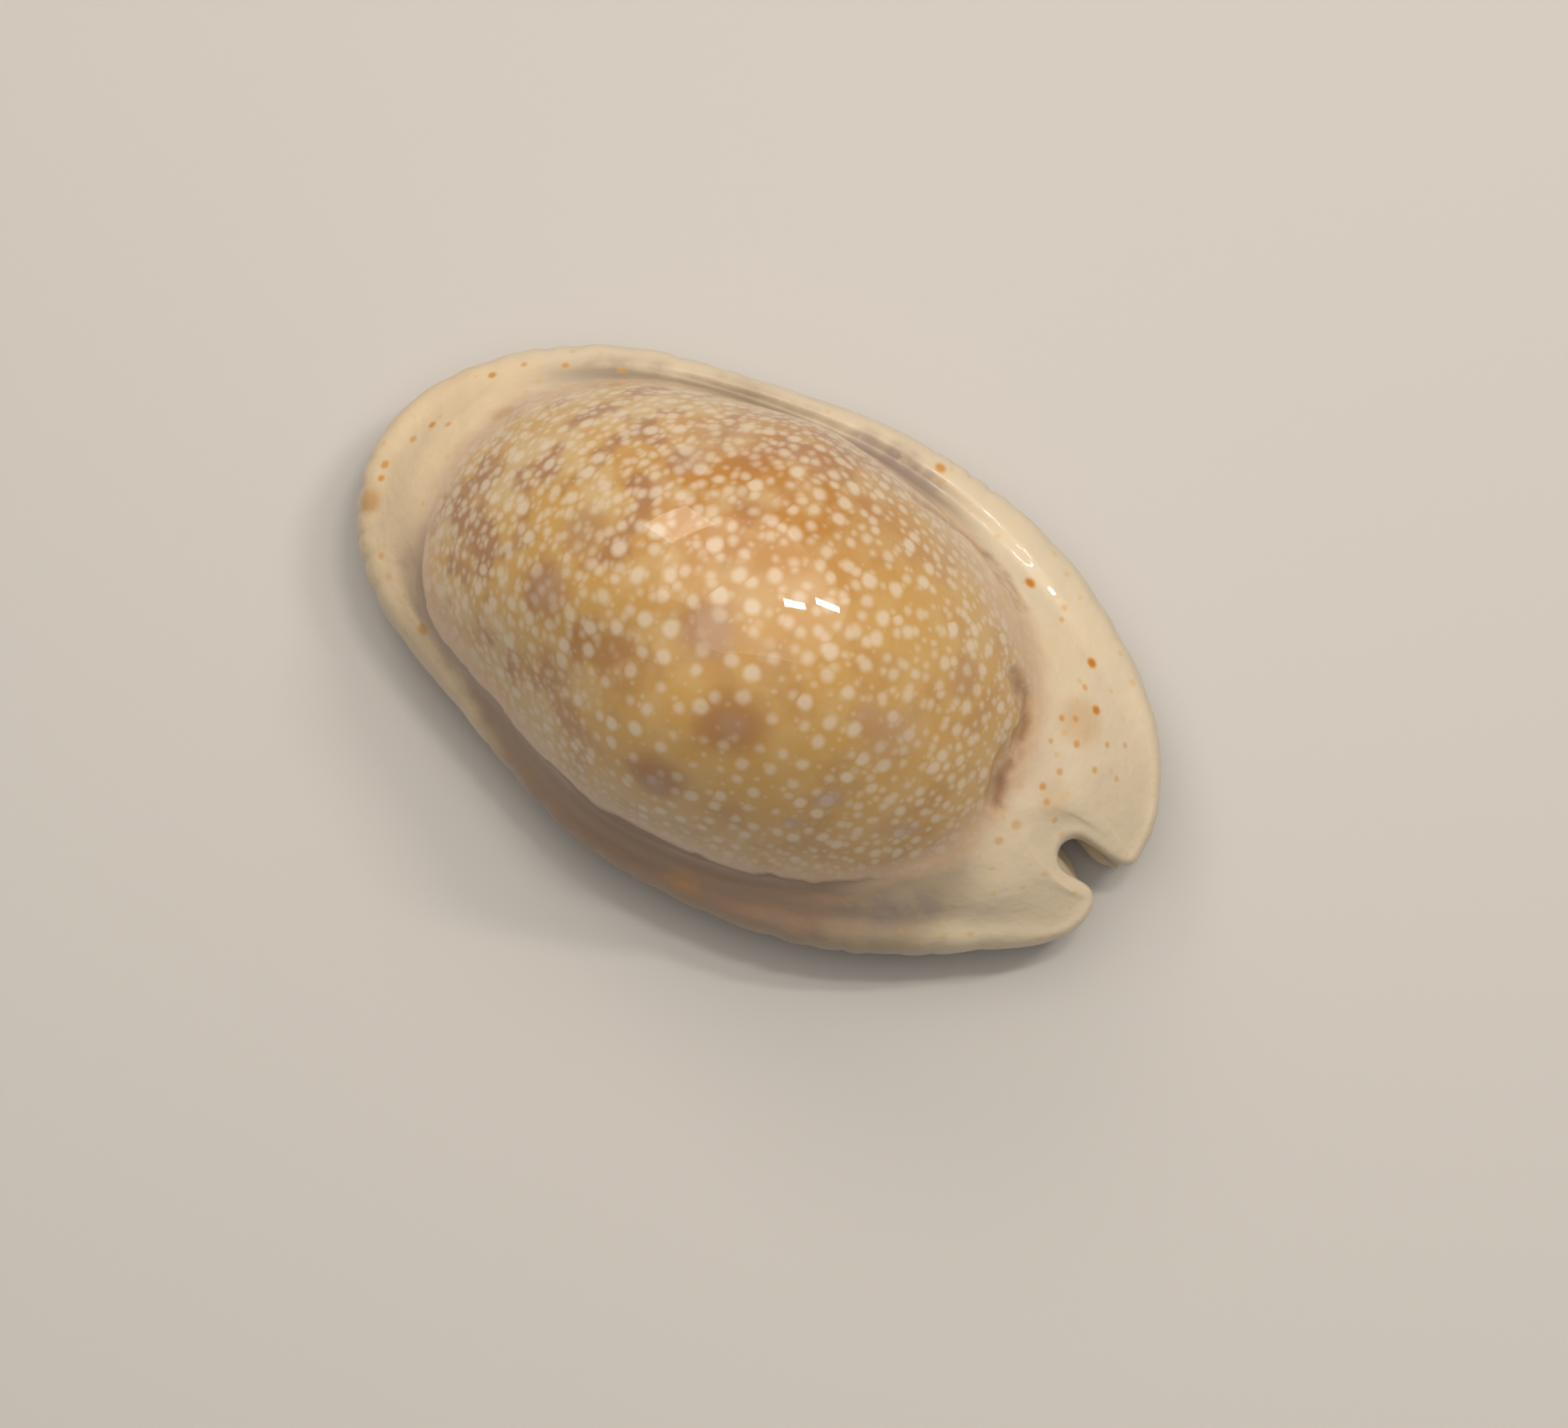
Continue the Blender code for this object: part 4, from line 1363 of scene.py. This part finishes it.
@dataclass(frozen=True)
class Glaze:
    """The spotted back and the cream callus under one glossy coat. Colours are linear."""

    olive: Colour = (0.53, 0.315, 0.10)
    golden: Tint = Tint((0.42, 0.195, 0.042))
    haze: Tint = Tint((0.58, 0.43, 0.235))
    brown: Tint = Tint((0.345, 0.165, 0.07))
    patch: Tint = Tint((0.345, 0.165, 0.07), 0.75)
    spot: Tint = Tint((0.68, 0.57, 0.43))
    lilac: Tint = Tint((0.40, 0.27, 0.22), 0.55)
    band: Tint = Tint((0.59, 0.42, 0.29), 0.78)
    cream: Colour = (0.66, 0.52, 0.34)
    shade: Tint = Tint((0.56, 0.43, 0.29), 0.5)
    rim: Tint = Tint((0.60, 0.51, 0.375), 0.75)
    # Painted shade: a darker colour laid on the callus towards the columella side and the spire end, where
    # less light falls.
    painted_side_shade: Tint = Tint((0.34, 0.265, 0.18), 0.85)
    # Grey-brown in the outer lip's groove: partly the shell's own blotch, partly painted shade of the groove.
    groove: Tint = Tint((0.27, 0.20, 0.14), 0.85)
    # Colour of the stain marks, which are partly real stains and partly painted shade.
    stain_and_shade: Tint = Tint((0.30, 0.23, 0.20), 0.9)
    sprinkle: Tint = Tint((0.60, 0.36, 0.12), 0.5)
    amber: Tint = Tint((0.60, 0.36, 0.12), 0.95)
    speck: Tint = Tint((0.48, 0.17, 0.018), 0.95)
    # Painted shade in the gutter under the ledge.
    painted_ledge_shade: Tint = Tint((0.31, 0.205, 0.14), 0.95)
    ochre: Tint = Tint((0.46, 0.25, 0.08), 0.85)
    # Brown along the creases: partly their own colour, partly painted shade in the creases.
    umber_and_shade: Tint = Tint((0.29, 0.15, 0.07), 0.85)
    between_teeth: Tint = Tint((0.46, 0.25, 0.08), 0.55)
    inside: Tint = Tint((0.62, 0.50, 0.46))
    front_lean: float = 0.45
    front_span: Span = (-2.0, 8.0)
    golden_pool: Pool = Pool((1.4, -5.2, 18.0), (10.0, 2.0), Rag(5.0, 3.0, 6.0))
    haze_clouds: Clouds = Clouds(2.4, 3.0, (0.4, 0.66))
    haze_shares: Span = (0.28, 0.45)
    brown_clouds: Clouds = Clouds(2.6, 3.0, (0.48, 0.66), (31.0, 17.0, 5.0))
    brown_shares: Span = (0.3, 0.6)
    large: Spots = Spots(1.4, (0.2, 0.22), 0.19)
    small: Spots = Spots(0.8, (-0.1, 0.26), 0.13, 0.55, shift=(3.1, 5.7, 0.0))
    close: Spots = Spots(1.0, (0.12, 0.16), 0.17, 0.85, shift=(7.3, 2.9, 0.0))
    close_pool: Pool = Pool((-1.5, 7.0, 16.5), (4.0, 9.0), Rag(4.0, 2.0, 4.0))
    long: Spots = Spots(0.85, (0.05, 0.17), 0.14, 0.85, stretch=(1.0, 0.66, 1.0))
    bend_scale: float = 0.7
    bend: Place = (0.4, 0.4, 0.0)
    spot_cover: float = 0.74
    spot_dimmed: float = 0.3
    shade_clouds: Clouds = Clouds(4.0, 3.0, (0.35, 0.7))
    lip_side: Span = (-5.5, -8.5)
    spire_end: Span = (-11.0, -16.0)
    side_shade_lean: float = 0.3
    side_shade_reach: Span = (7.5, 11.0)
    side_shade_end: Span = (-15.5, -12.0)
    groove_rag: Rag = Rag(1.8, 4.0, 2.0)
    groove_rise: Span = (-2.9, -1.1)
    groove_end: Span = (-8.0, -4.0)
    worn: Clouds = Clouds(0.9, 4.0, (0.25, 0.55))
    sprinkle_pitch: float = 1.5
    sprinkle_radii: Span = (-0.56, 0.8)
    sprinkle_edge: Span = (0.2, 0.14)
    rag: Rag = Rag(1.6, 4.0, 3.0)
    band_side: Span = (-2.5, -6.5)
    band_back: Span = (3.0, -4.0)
    band_top: Span = (2.8, 4.6)
    band_foot: Span = (0.2, 1.6)
    band_drop: float = 0.7
    lap_rag: float = 0.6
    lap_rise: Span = (0.5, -0.9)
    ledge_edge: Span = (0.06, -0.06)
    ledge_shade_rag: float = 0.8
    ledge_shade_rise: Span = (-6.2, -3.0)
    ledge_shade_front: Span = (5.0, 12.5)
    ledge_shade_narrowed: float = 3.7
    broken: Clouds = Clouds(1.1, 3.0, (0.2, 0.5))
    skin_size: float = 1.1
    skin_detail: float = 3.0
    skin_depths: Span = (0.012, 0.09)
    skin_rise: Span = (1.0, -1.0)
    roughness: float = 0.38
    specular: float = 0.2
    coat: float = 0.62
    dulled: float = 0.3
    coat_roughness: float = 0.03

    def front(self, place: Value) -> Value:
        """0 behind and on the columella side, and 1 towards the front and the outer lip."""
        x, y, _ = place.graph.parts(place)
        return (x - y * self.front_lean).step(*self.front_span)

    def ground(self, place: Value) -> Value:
        """The back's ground colour under its spots.

        Args:
            place: The place on the shell.

        Returns:
            The colour.
        """
        front = self.front(place)
        colour = self.golden.over(self.golden_pool.on(place), self.olive)
        haze = self.haze_clouds.on(place) * raised(self.haze_shares, front)
        colour = self.haze.over(haze, colour)
        dark = self.brown_clouds.on(place) * raised(self.brown_shares, front)
        colour = self.brown.over(dark, colour)
        return self.patch.over(marks(place, BROWN_PATCHES), colour)

    def spots(self, place: Value) -> Value:
        """The pale spots: large and small ones, close ones outside one field, and long ones in front.

        Args:
            place: The place on the shell.

        Returns:
            The share of a spot.
        """
        graph = place.graph
        bent = graph.node("TexNoise", {"noise_dimensions": "3D"}, {"Vector": place, "Scale": self.bend_scale})
        bent = graph.vector("MULTIPLY", Value(graph, bent.outputs["Color"]), self.bend)
        flat = graph.vector("ADD", graph.flat_place(), bent)
        close = self.close.on(flat) * self.close_pool.on(place)
        long = self.long.on(flat) * self.front(place)
        return self.large.on(flat) | close | long | self.small.on(flat)

    def back(self, place: Value) -> Value:
        """The whole colour of the back.

        Args:
            place: The place on the shell.

        Returns:
            The colour.
        """
        cover = self.spot_cover - marks(place, BROWN_PATCHES) * self.spot_dimmed
        colour = self.spot.over(self.spots(place) * cover, self.ground(place))
        return self.lilac.over(marks(place, LILAC_PATCHES), colour)

    def sprinkled(self, graph: Graph) -> Value:
        """The fine specks scattered over the callus, down to its margin.

        Args:
            graph: The material's nodes.

        Returns:
            The share of a speck.
        """
        away, chance = graph.cells(graph.flat_place(), self.sprinkle_pitch)
        radius = raised(self.sprinkle_radii, chance)
        above = graph.attribute("zone").step(Ring.UNDER.value + 0.5, Ring.UNDER.value - 0.5)
        return away.step(radius + self.sprinkle_edge[0], radius - self.sprinkle_edge[1]) * above

    def callus(self, place: Value, rise: Value) -> Value:
        """The cream callus with its specks, the grey-brown groove along the outer lip, partly its own blotch
        and partly painted shade, and painted shade towards the columella side.

        Args:
            place: The place on the shell.
            rise: Distance up the dome from its foot.

        Returns:
            The colour.
        """
        x, y, _ = place.graph.parts(place)
        clouds = self.shade_clouds.on(place)
        colour = self.shade.over(clouds, self.cream)
        lip_side = y.step(*self.lip_side)
        colour = self.rim.over(lip_side | x.step(*self.spire_end), colour)
        # Painted shade: the callus darkens towards the columella side and the spire end.
        low = (y - x * self.side_shade_lean + clouds).step(*self.side_shade_reach)
        colour = self.painted_side_shade.over(low * (x + clouds).step(*self.side_shade_end), colour)
        # Grey-brown along the outer lip's groove: partly the shell's own blotch, partly painted shade.
        groove = (rise + self.groove_rag.on(place)).step(*self.groove_rise)
        colour = self.groove.over(groove * lip_side * x.step(*self.groove_end), colour)
        # Stain marks, partly the shell's own blotch and partly painted shade.
        colour = self.stain_and_shade.over(marks(place, STAINS_AND_SHADE) * self.worn.on(place), colour)
        colour = self.sprinkle.over(self.sprinkled(place.graph), colour)
        specks = marks(place, SPECKS)
        colour = self.amber.over(specks, colour)
        return self.speck.over(specks * specks, colour)

    def banded(self, place: Value, rise: Value) -> Value:
        """Where the mauve band above the callus lies: wide behind, on the outer lip's side.

        Args:
            place: The place on the shell.
            rise: Distance up the dome from its foot.

        Returns:
            The share of the band.
        """
        x, y, _ = place.graph.parts(place)
        wide = y.step(*self.band_side) * x.step(*self.band_back)
        lowered = rise - place.graph.attribute("ledge_side") * self.band_drop
        return lowered.step(raised(self.band_top, wide), raised(self.band_foot, wide))

    def shade_under_ledge(self, place: Value, rise: Value) -> Value:
        """Where painted shade darkens the gutter under the ledge, which narrows towards the front.

        Args:
            place: The place on the shell.
            rise: Distance up the dome from its foot.

        Returns:
            The share of the gutter.
        """
        graph = place.graph
        narrowed = graph.parts(place)[0].step(*self.ledge_shade_front) * self.ledge_shade_narrowed
        below = graph.attribute("ledge").step(*self.ledge_edge) * graph.attribute("ledge_side")
        return below * (rise - narrowed).step(*self.ledge_shade_rise)

    def skin(self, place: Value, rise: Value) -> Value:
        """The slight unevenness of the glossy surface, stronger on the callus.

        Args:
            place: The place on the shell.
            rise: Distance up the dome from its foot.

        Returns:
            The bent normal.
        """
        graph = place.graph
        depth = raised(self.skin_depths, rise.step(*self.skin_rise))
        height = graph.noise(place, self.skin_size, self.skin_detail) * depth
        made = graph.node("Bump", {}, {"Strength": 1.0, "Distance": MM, "Height": height})
        return Value(graph, made.outputs[0])

    def make(self) -> bpy.types.Material:
        """The shell's material.

        Returns:
            The material.
        """
        graph = Graph("spotted glaze")
        place = graph.place()
        rise = graph.attribute("rise")
        rag = self.rag.on(place)
        colour = self.band.over(self.banded(place, rise + rag), self.back(place))
        lap = (rise + rag * self.lap_rag).step(*self.lap_rise)
        colour = graph.blend(lap, colour, self.callus(place, rise))
        # Painted shade in the gutter under the ledge, on the columella side.
        colour = self.painted_ledge_shade.over(self.shade_under_ledge(place, rise + rag * self.ledge_shade_rag), colour)
        colour = self.ochre.over(marks(place, OCHRE), colour)
        # Brown along the creases round the spire and the outer lip: partly their own colour, partly painted
        # shade in the creases.
        colour = self.umber_and_shade.over(graph.attribute("crease") * self.broken.on(place), colour)
        colour = self.between_teeth.over(graph.attribute("groove"), colour)
        inside = graph.attribute("zone").step(Ring.THROAT.value - 1, Ring.THROAT.value + 1)
        graph.finish("Base Color", self.inside.over(inside, colour))
        graph.finish("Normal", self.skin(place, rise))
        graph.finish("Roughness", self.roughness)
        graph.finish("Specular IOR Level", self.specular)
        graph.finish("Coat Weight", self.coat - lap * self.dulled)
        graph.finish("Coat Roughness", self.coat_roughness)
        return graph.material


@dataclass(frozen=True)
class Plaster:
    """The pale matt floor."""

    colour: Colour = (0.52, 0.50, 0.48)
    roughness: float = 0.75

    def make(self) -> bpy.types.Material:
        """The floor's material.

        Returns:
            The material.
        """
        graph = Graph("pale floor")
        graph.finish("Base Color", self.colour)
        graph.finish("Roughness", self.roughness)
        return graph.material


@dataclass
class CowrieShell:
    """The shell itself: one closed surface with its slit, its hollow and its finish."""

    net: Net = field(default_factory=Net)
    relief: Relief = field(default_factory=Relief)
    finish: Glaze = field(default_factory=Glaze)
    map_stretch: float = 0.0002
    summit_rises: Span = (20.0, -60.0)
    summit_places: Span = (0.0, 60.0)

    def spread(self, rows: Array) -> tuple[Array, Array]:
        """The surface laid out flat round the summit, in millimetres: its two coordinates.

        Args:
            rows: The points of the net.

        Returns:
            The first and the second coordinate of each point.
        """
        top = np.array((*self.net.dome.summit, self.net.dome.height))
        whole = np.concatenate((np.broadcast_to(top, (1, *rows.shape[1:])), rows))
        walked = np.cumsum(np.linalg.norm(np.diff(whole, axis=0), axis=2), axis=0)
        reach = walked * (1 + self.map_stretch * walked ** 2)
        away = rows[..., :2] - top[:2]
        angle = np.arctan2(away[..., 1], away[..., 0])
        return reach * np.cos(angle), reach * np.sin(angle)

    def fit(self, spots: Array) -> Array:
        """Points in millimetres brought into the box of the CAD shell, in metres.

        Args:
            spots: The points in millimetres.

        Returns:
            The points in metres.
        """
        low, high = (np.array(corner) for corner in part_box("shell"))
        first, last = spots.min(axis=0), spots.max(axis=0)
        return low + (spots - first) / (last - first) * (high - low)

    def faces(self, rows: int, columns: int) -> list[tuple[int, ...]]:
        """The faces of a net of rows between two single points, as a sphere has them.

        Args:
            rows: How many rows the net has.
            columns: How many columns it has.

        Returns:
            The point numbers of each face.
        """
        last = rows * columns
        found: list[tuple[int, ...]] = []
        for column in range(columns):
            after = (column + 1) % columns
            found.append((last, column, after))
            for row in range(rows - 1):
                first = row * columns
                below = first + columns
                found.append((first + column, below + column, below + after, first + after))
            base = (rows - 1) * columns
            found.append((base + column, last + 1, base + after))
        return found

    def masks(self, rows: Array, zones: Array) -> dict[str, tuple[Array, Span]]:
        """Numbers for the mesh: one for each point of the net, and two for the summits out and inside.

        Args:
            rows: The points of the net.
            zones: The place of each row among the rings.

        Returns:
            The numbers by name.
        """
        rise = rise_of(rows, zones)
        grooves = [self.net.columns.teeth()[1] * self.net.cut(zone) for zone in zones]
        flat_x, flat_y = self.spread(rows)
        none = (0.0, 0.0)
        return {
            "zone": (np.repeat(zones, rows.shape[1]), (-1.0, Ring.VAULT.value + 1)),
            "rise": (rise, self.summit_rises),
            "groove": (np.array(grooves), none),
            "crease": (self.relief.creases(rows, zones), none),
            "ledge": (self.relief.ledge(rows, rise), self.summit_rises),
            "ledge_side": (self.relief.on_ledge(rows), none),
            "flat_x": (flat_x, self.summit_places),
            "flat_y": (flat_y, self.summit_places),
        }

    def build(self) -> bpy.types.Object:
        """Make the shell's mesh, keep its masks on it and dress it.

        Returns:
            The piece.
        """
        rows, zones = self.net.rows()
        self.relief.apply(rows, zones, self.net.columns)
        dome = self.net.dome
        ends = [(*dome.summit, dome.height), (*dome.summit, dome.height - dome.wall)]
        spots = self.fit(np.concatenate((rows.reshape(-1, 3), ends)))
        mesh = bpy.data.meshes.new("shell_surface")
        mesh.from_pydata(spots.tolist(), [], self.faces(*rows.shape[:2]))
        for name, (numbers, ends) in self.masks(rows, zones).items():
            layer = mesh.attributes.new(name, "FLOAT", "POINT")
            kept = np.concatenate((numbers.reshape(-1), ends))
            layer.data.foreach_set("value", kept.astype(np.float32))
        mesh.shade_smooth()
        mesh.materials.append(self.finish.make())
        piece = bpy.data.objects.new("cowrie_shell", mesh)
        bpy.context.scene.collection.objects.link(piece)
        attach(piece, "root")
        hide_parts("shell")
        return piece


def placing(right: Vector, up: Vector, back: Vector, place: Vector) -> Matrix:
    """The matrix that turns a thing to its three axes and brings it to a place in millimetres."""
    columns = (right, up, back, place * MM)
    return Matrix([[*(axis[row] for axis in columns)] for row in range(3)] + [[0, 0, 0, 1]])


@dataclass
class Lamp:
    """One rectangular soft light: its place, its aim, size, power, the way of its first side and colour."""

    name: str
    place: Place
    aim: Place
    size: tuple[float, float]
    power: float
    along: Place = (1.0, 0.0, 0.0)
    colour: Colour = (1.0, 0.93, 0.84)

    def build(self) -> bpy.types.Object:
        """Put the light into the scene.

        Returns:
            The lamp.
        """
        light = bpy.data.lights.new(self.name, "AREA")
        light.shape = "RECTANGLE"
        light.size, light.size_y = (side * MM for side in self.size)
        light.energy = self.power
        light.color = self.colour
        lamp = bpy.data.objects.new(self.name, light)
        back = (Vector(self.place) - Vector(self.aim)).normalized()
        long_side = Vector(self.along)
        long_side = (long_side - back * long_side.dot(back)).normalized()
        lamp.matrix_world = placing(long_side, back.cross(long_side), back, Vector(self.place))
        bpy.context.scene.collection.objects.link(lamp)
        return lamp


@dataclass
class Studio:
    """The pale floor, the lamps and the even light round them."""

    floor_reach: float = 4000.0
    floor_finish: Plaster = field(default_factory=Plaster)
    air: Colour = (1.0, 0.97, 0.93)
    air_strength: float = 0.20
    lamps: tuple[Lamp, ...] = (
        Lamp("soft box", (25.0, -60.0, 265.0), (0.0, 0.0, 8.0), (380.0, 320.0), 0.66),
        Lamp("card", (165.0, -105.0, 165.0), (5.0, -2.5, 18.4), (90.0, 56.0), 0.09, (0.3, 1.0, 0.0)),
        Lamp("glint one", (-30.8, -75.1, 267.3), (-1.6, -0.4, 20.0), (50.0, 14.0), 0.14, (1.0, 0.6, 0.0)),
        Lamp("glint two", (-92.4, -122.3, 231.5), (-2.9, -1.0, 19.7), (58.0, 14.0), 0.15, (1.0, 0.5, 0.0)),
    )

    def floor(self) -> bpy.types.Object:
        """The floor that the shell lies on.

        Returns:
            The floor.
        """
        reach = self.floor_reach * MM
        corners = [(-reach, -reach, 0), (reach, -reach, 0), (reach, reach, 0), (-reach, reach, 0)]
        mesh = bpy.data.meshes.new("floor")
        mesh.from_pydata(corners, [], [(0, 1, 2, 3)])
        mesh.materials.append(self.floor_finish.make())
        piece = bpy.data.objects.new("floor", mesh)
        bpy.context.scene.collection.objects.link(piece)
        return piece

    def world(self) -> bpy.types.World:
        """The even light from all round.

        Returns:
            The world.
        """
        world = bpy.data.worlds.new("air")
        world.use_nodes = True
        sky = world.node_tree.nodes["Background"]
        sky.inputs["Color"].default_value = (*self.air, 1.0)
        sky.inputs["Strength"].default_value = self.air_strength
        bpy.context.scene.world = world
        bpy.context.scene.view_settings.view_transform = "Standard"
        return world

    def build(self) -> list[bpy.types.Object]:
        """Set up the floor, the lamps and the air."""
        self.world()
        return [self.floor(), *(lamp.build() for lamp in self.lamps)]


@dataclass
class Viewpoint:
    """The camera at the photograph's place: nearly straight above, with the notch to the lower right."""

    twist: float = 27.67
    tilt: float = 8.0
    distance: float = 220.0
    target: Place = (-0.3, 0.0, 4.0)
    pixels_per_mm: float = 26.649
    centre: Span = (978.09, 837.05)
    sensor: float = 36.0
    clip: Span = (0.001, 10.0)

    def build(self) -> bpy.types.Object:
        """Make the camera and look through it.

        Returns:
            The camera.
        """
        turn, lean = math.radians(self.twist), math.radians(self.tilt)
        right = Vector((-math.cos(turn), -math.sin(turn), 0))
        forward = Vector((-math.sin(turn), math.cos(turn), 0))
        back = Vector((0, 0, 1)) * math.cos(lean) + forward * math.sin(lean)
        down = back.cross(right)
        if down.dot(forward) < 0:
            down = -down
        focal = self.pixels_per_mm * self.distance
        place = Vector(self.target) + back * self.distance
        place += right * ((PHOTO_WIDTH / 2 - self.centre[0]) / self.pixels_per_mm)
        place += down * ((PHOTO_HEIGHT / 2 - self.centre[1]) / self.pixels_per_mm)
        lens = bpy.data.cameras.new("camera")
        lens.sensor_width = self.sensor
        lens.lens = focal * self.sensor / PHOTO_WIDTH
        lens.clip_start, lens.clip_end = self.clip
        camera = bpy.data.objects.new("camera", lens)
        camera.matrix_world = placing(right, -down, back, place)
        bpy.context.scene.collection.objects.link(camera)
        bpy.context.scene.camera = camera
        return camera


def main() -> None:
    """Build the shell, the studio and the camera."""
    logging.basicConfig(level=logging.INFO, format="%(message)s")
    shell = CowrieShell().build()
    log.info("%s: %d points", shell.name, len(shell.data.vertices))
    for item in Studio().build():
        log.info("%s: in place", item.name)
    camera = Viewpoint().build()
    log.info("%s: %.1f mm lens", camera.name, camera.data.lens)


if __name__ == "__main__":
    main()
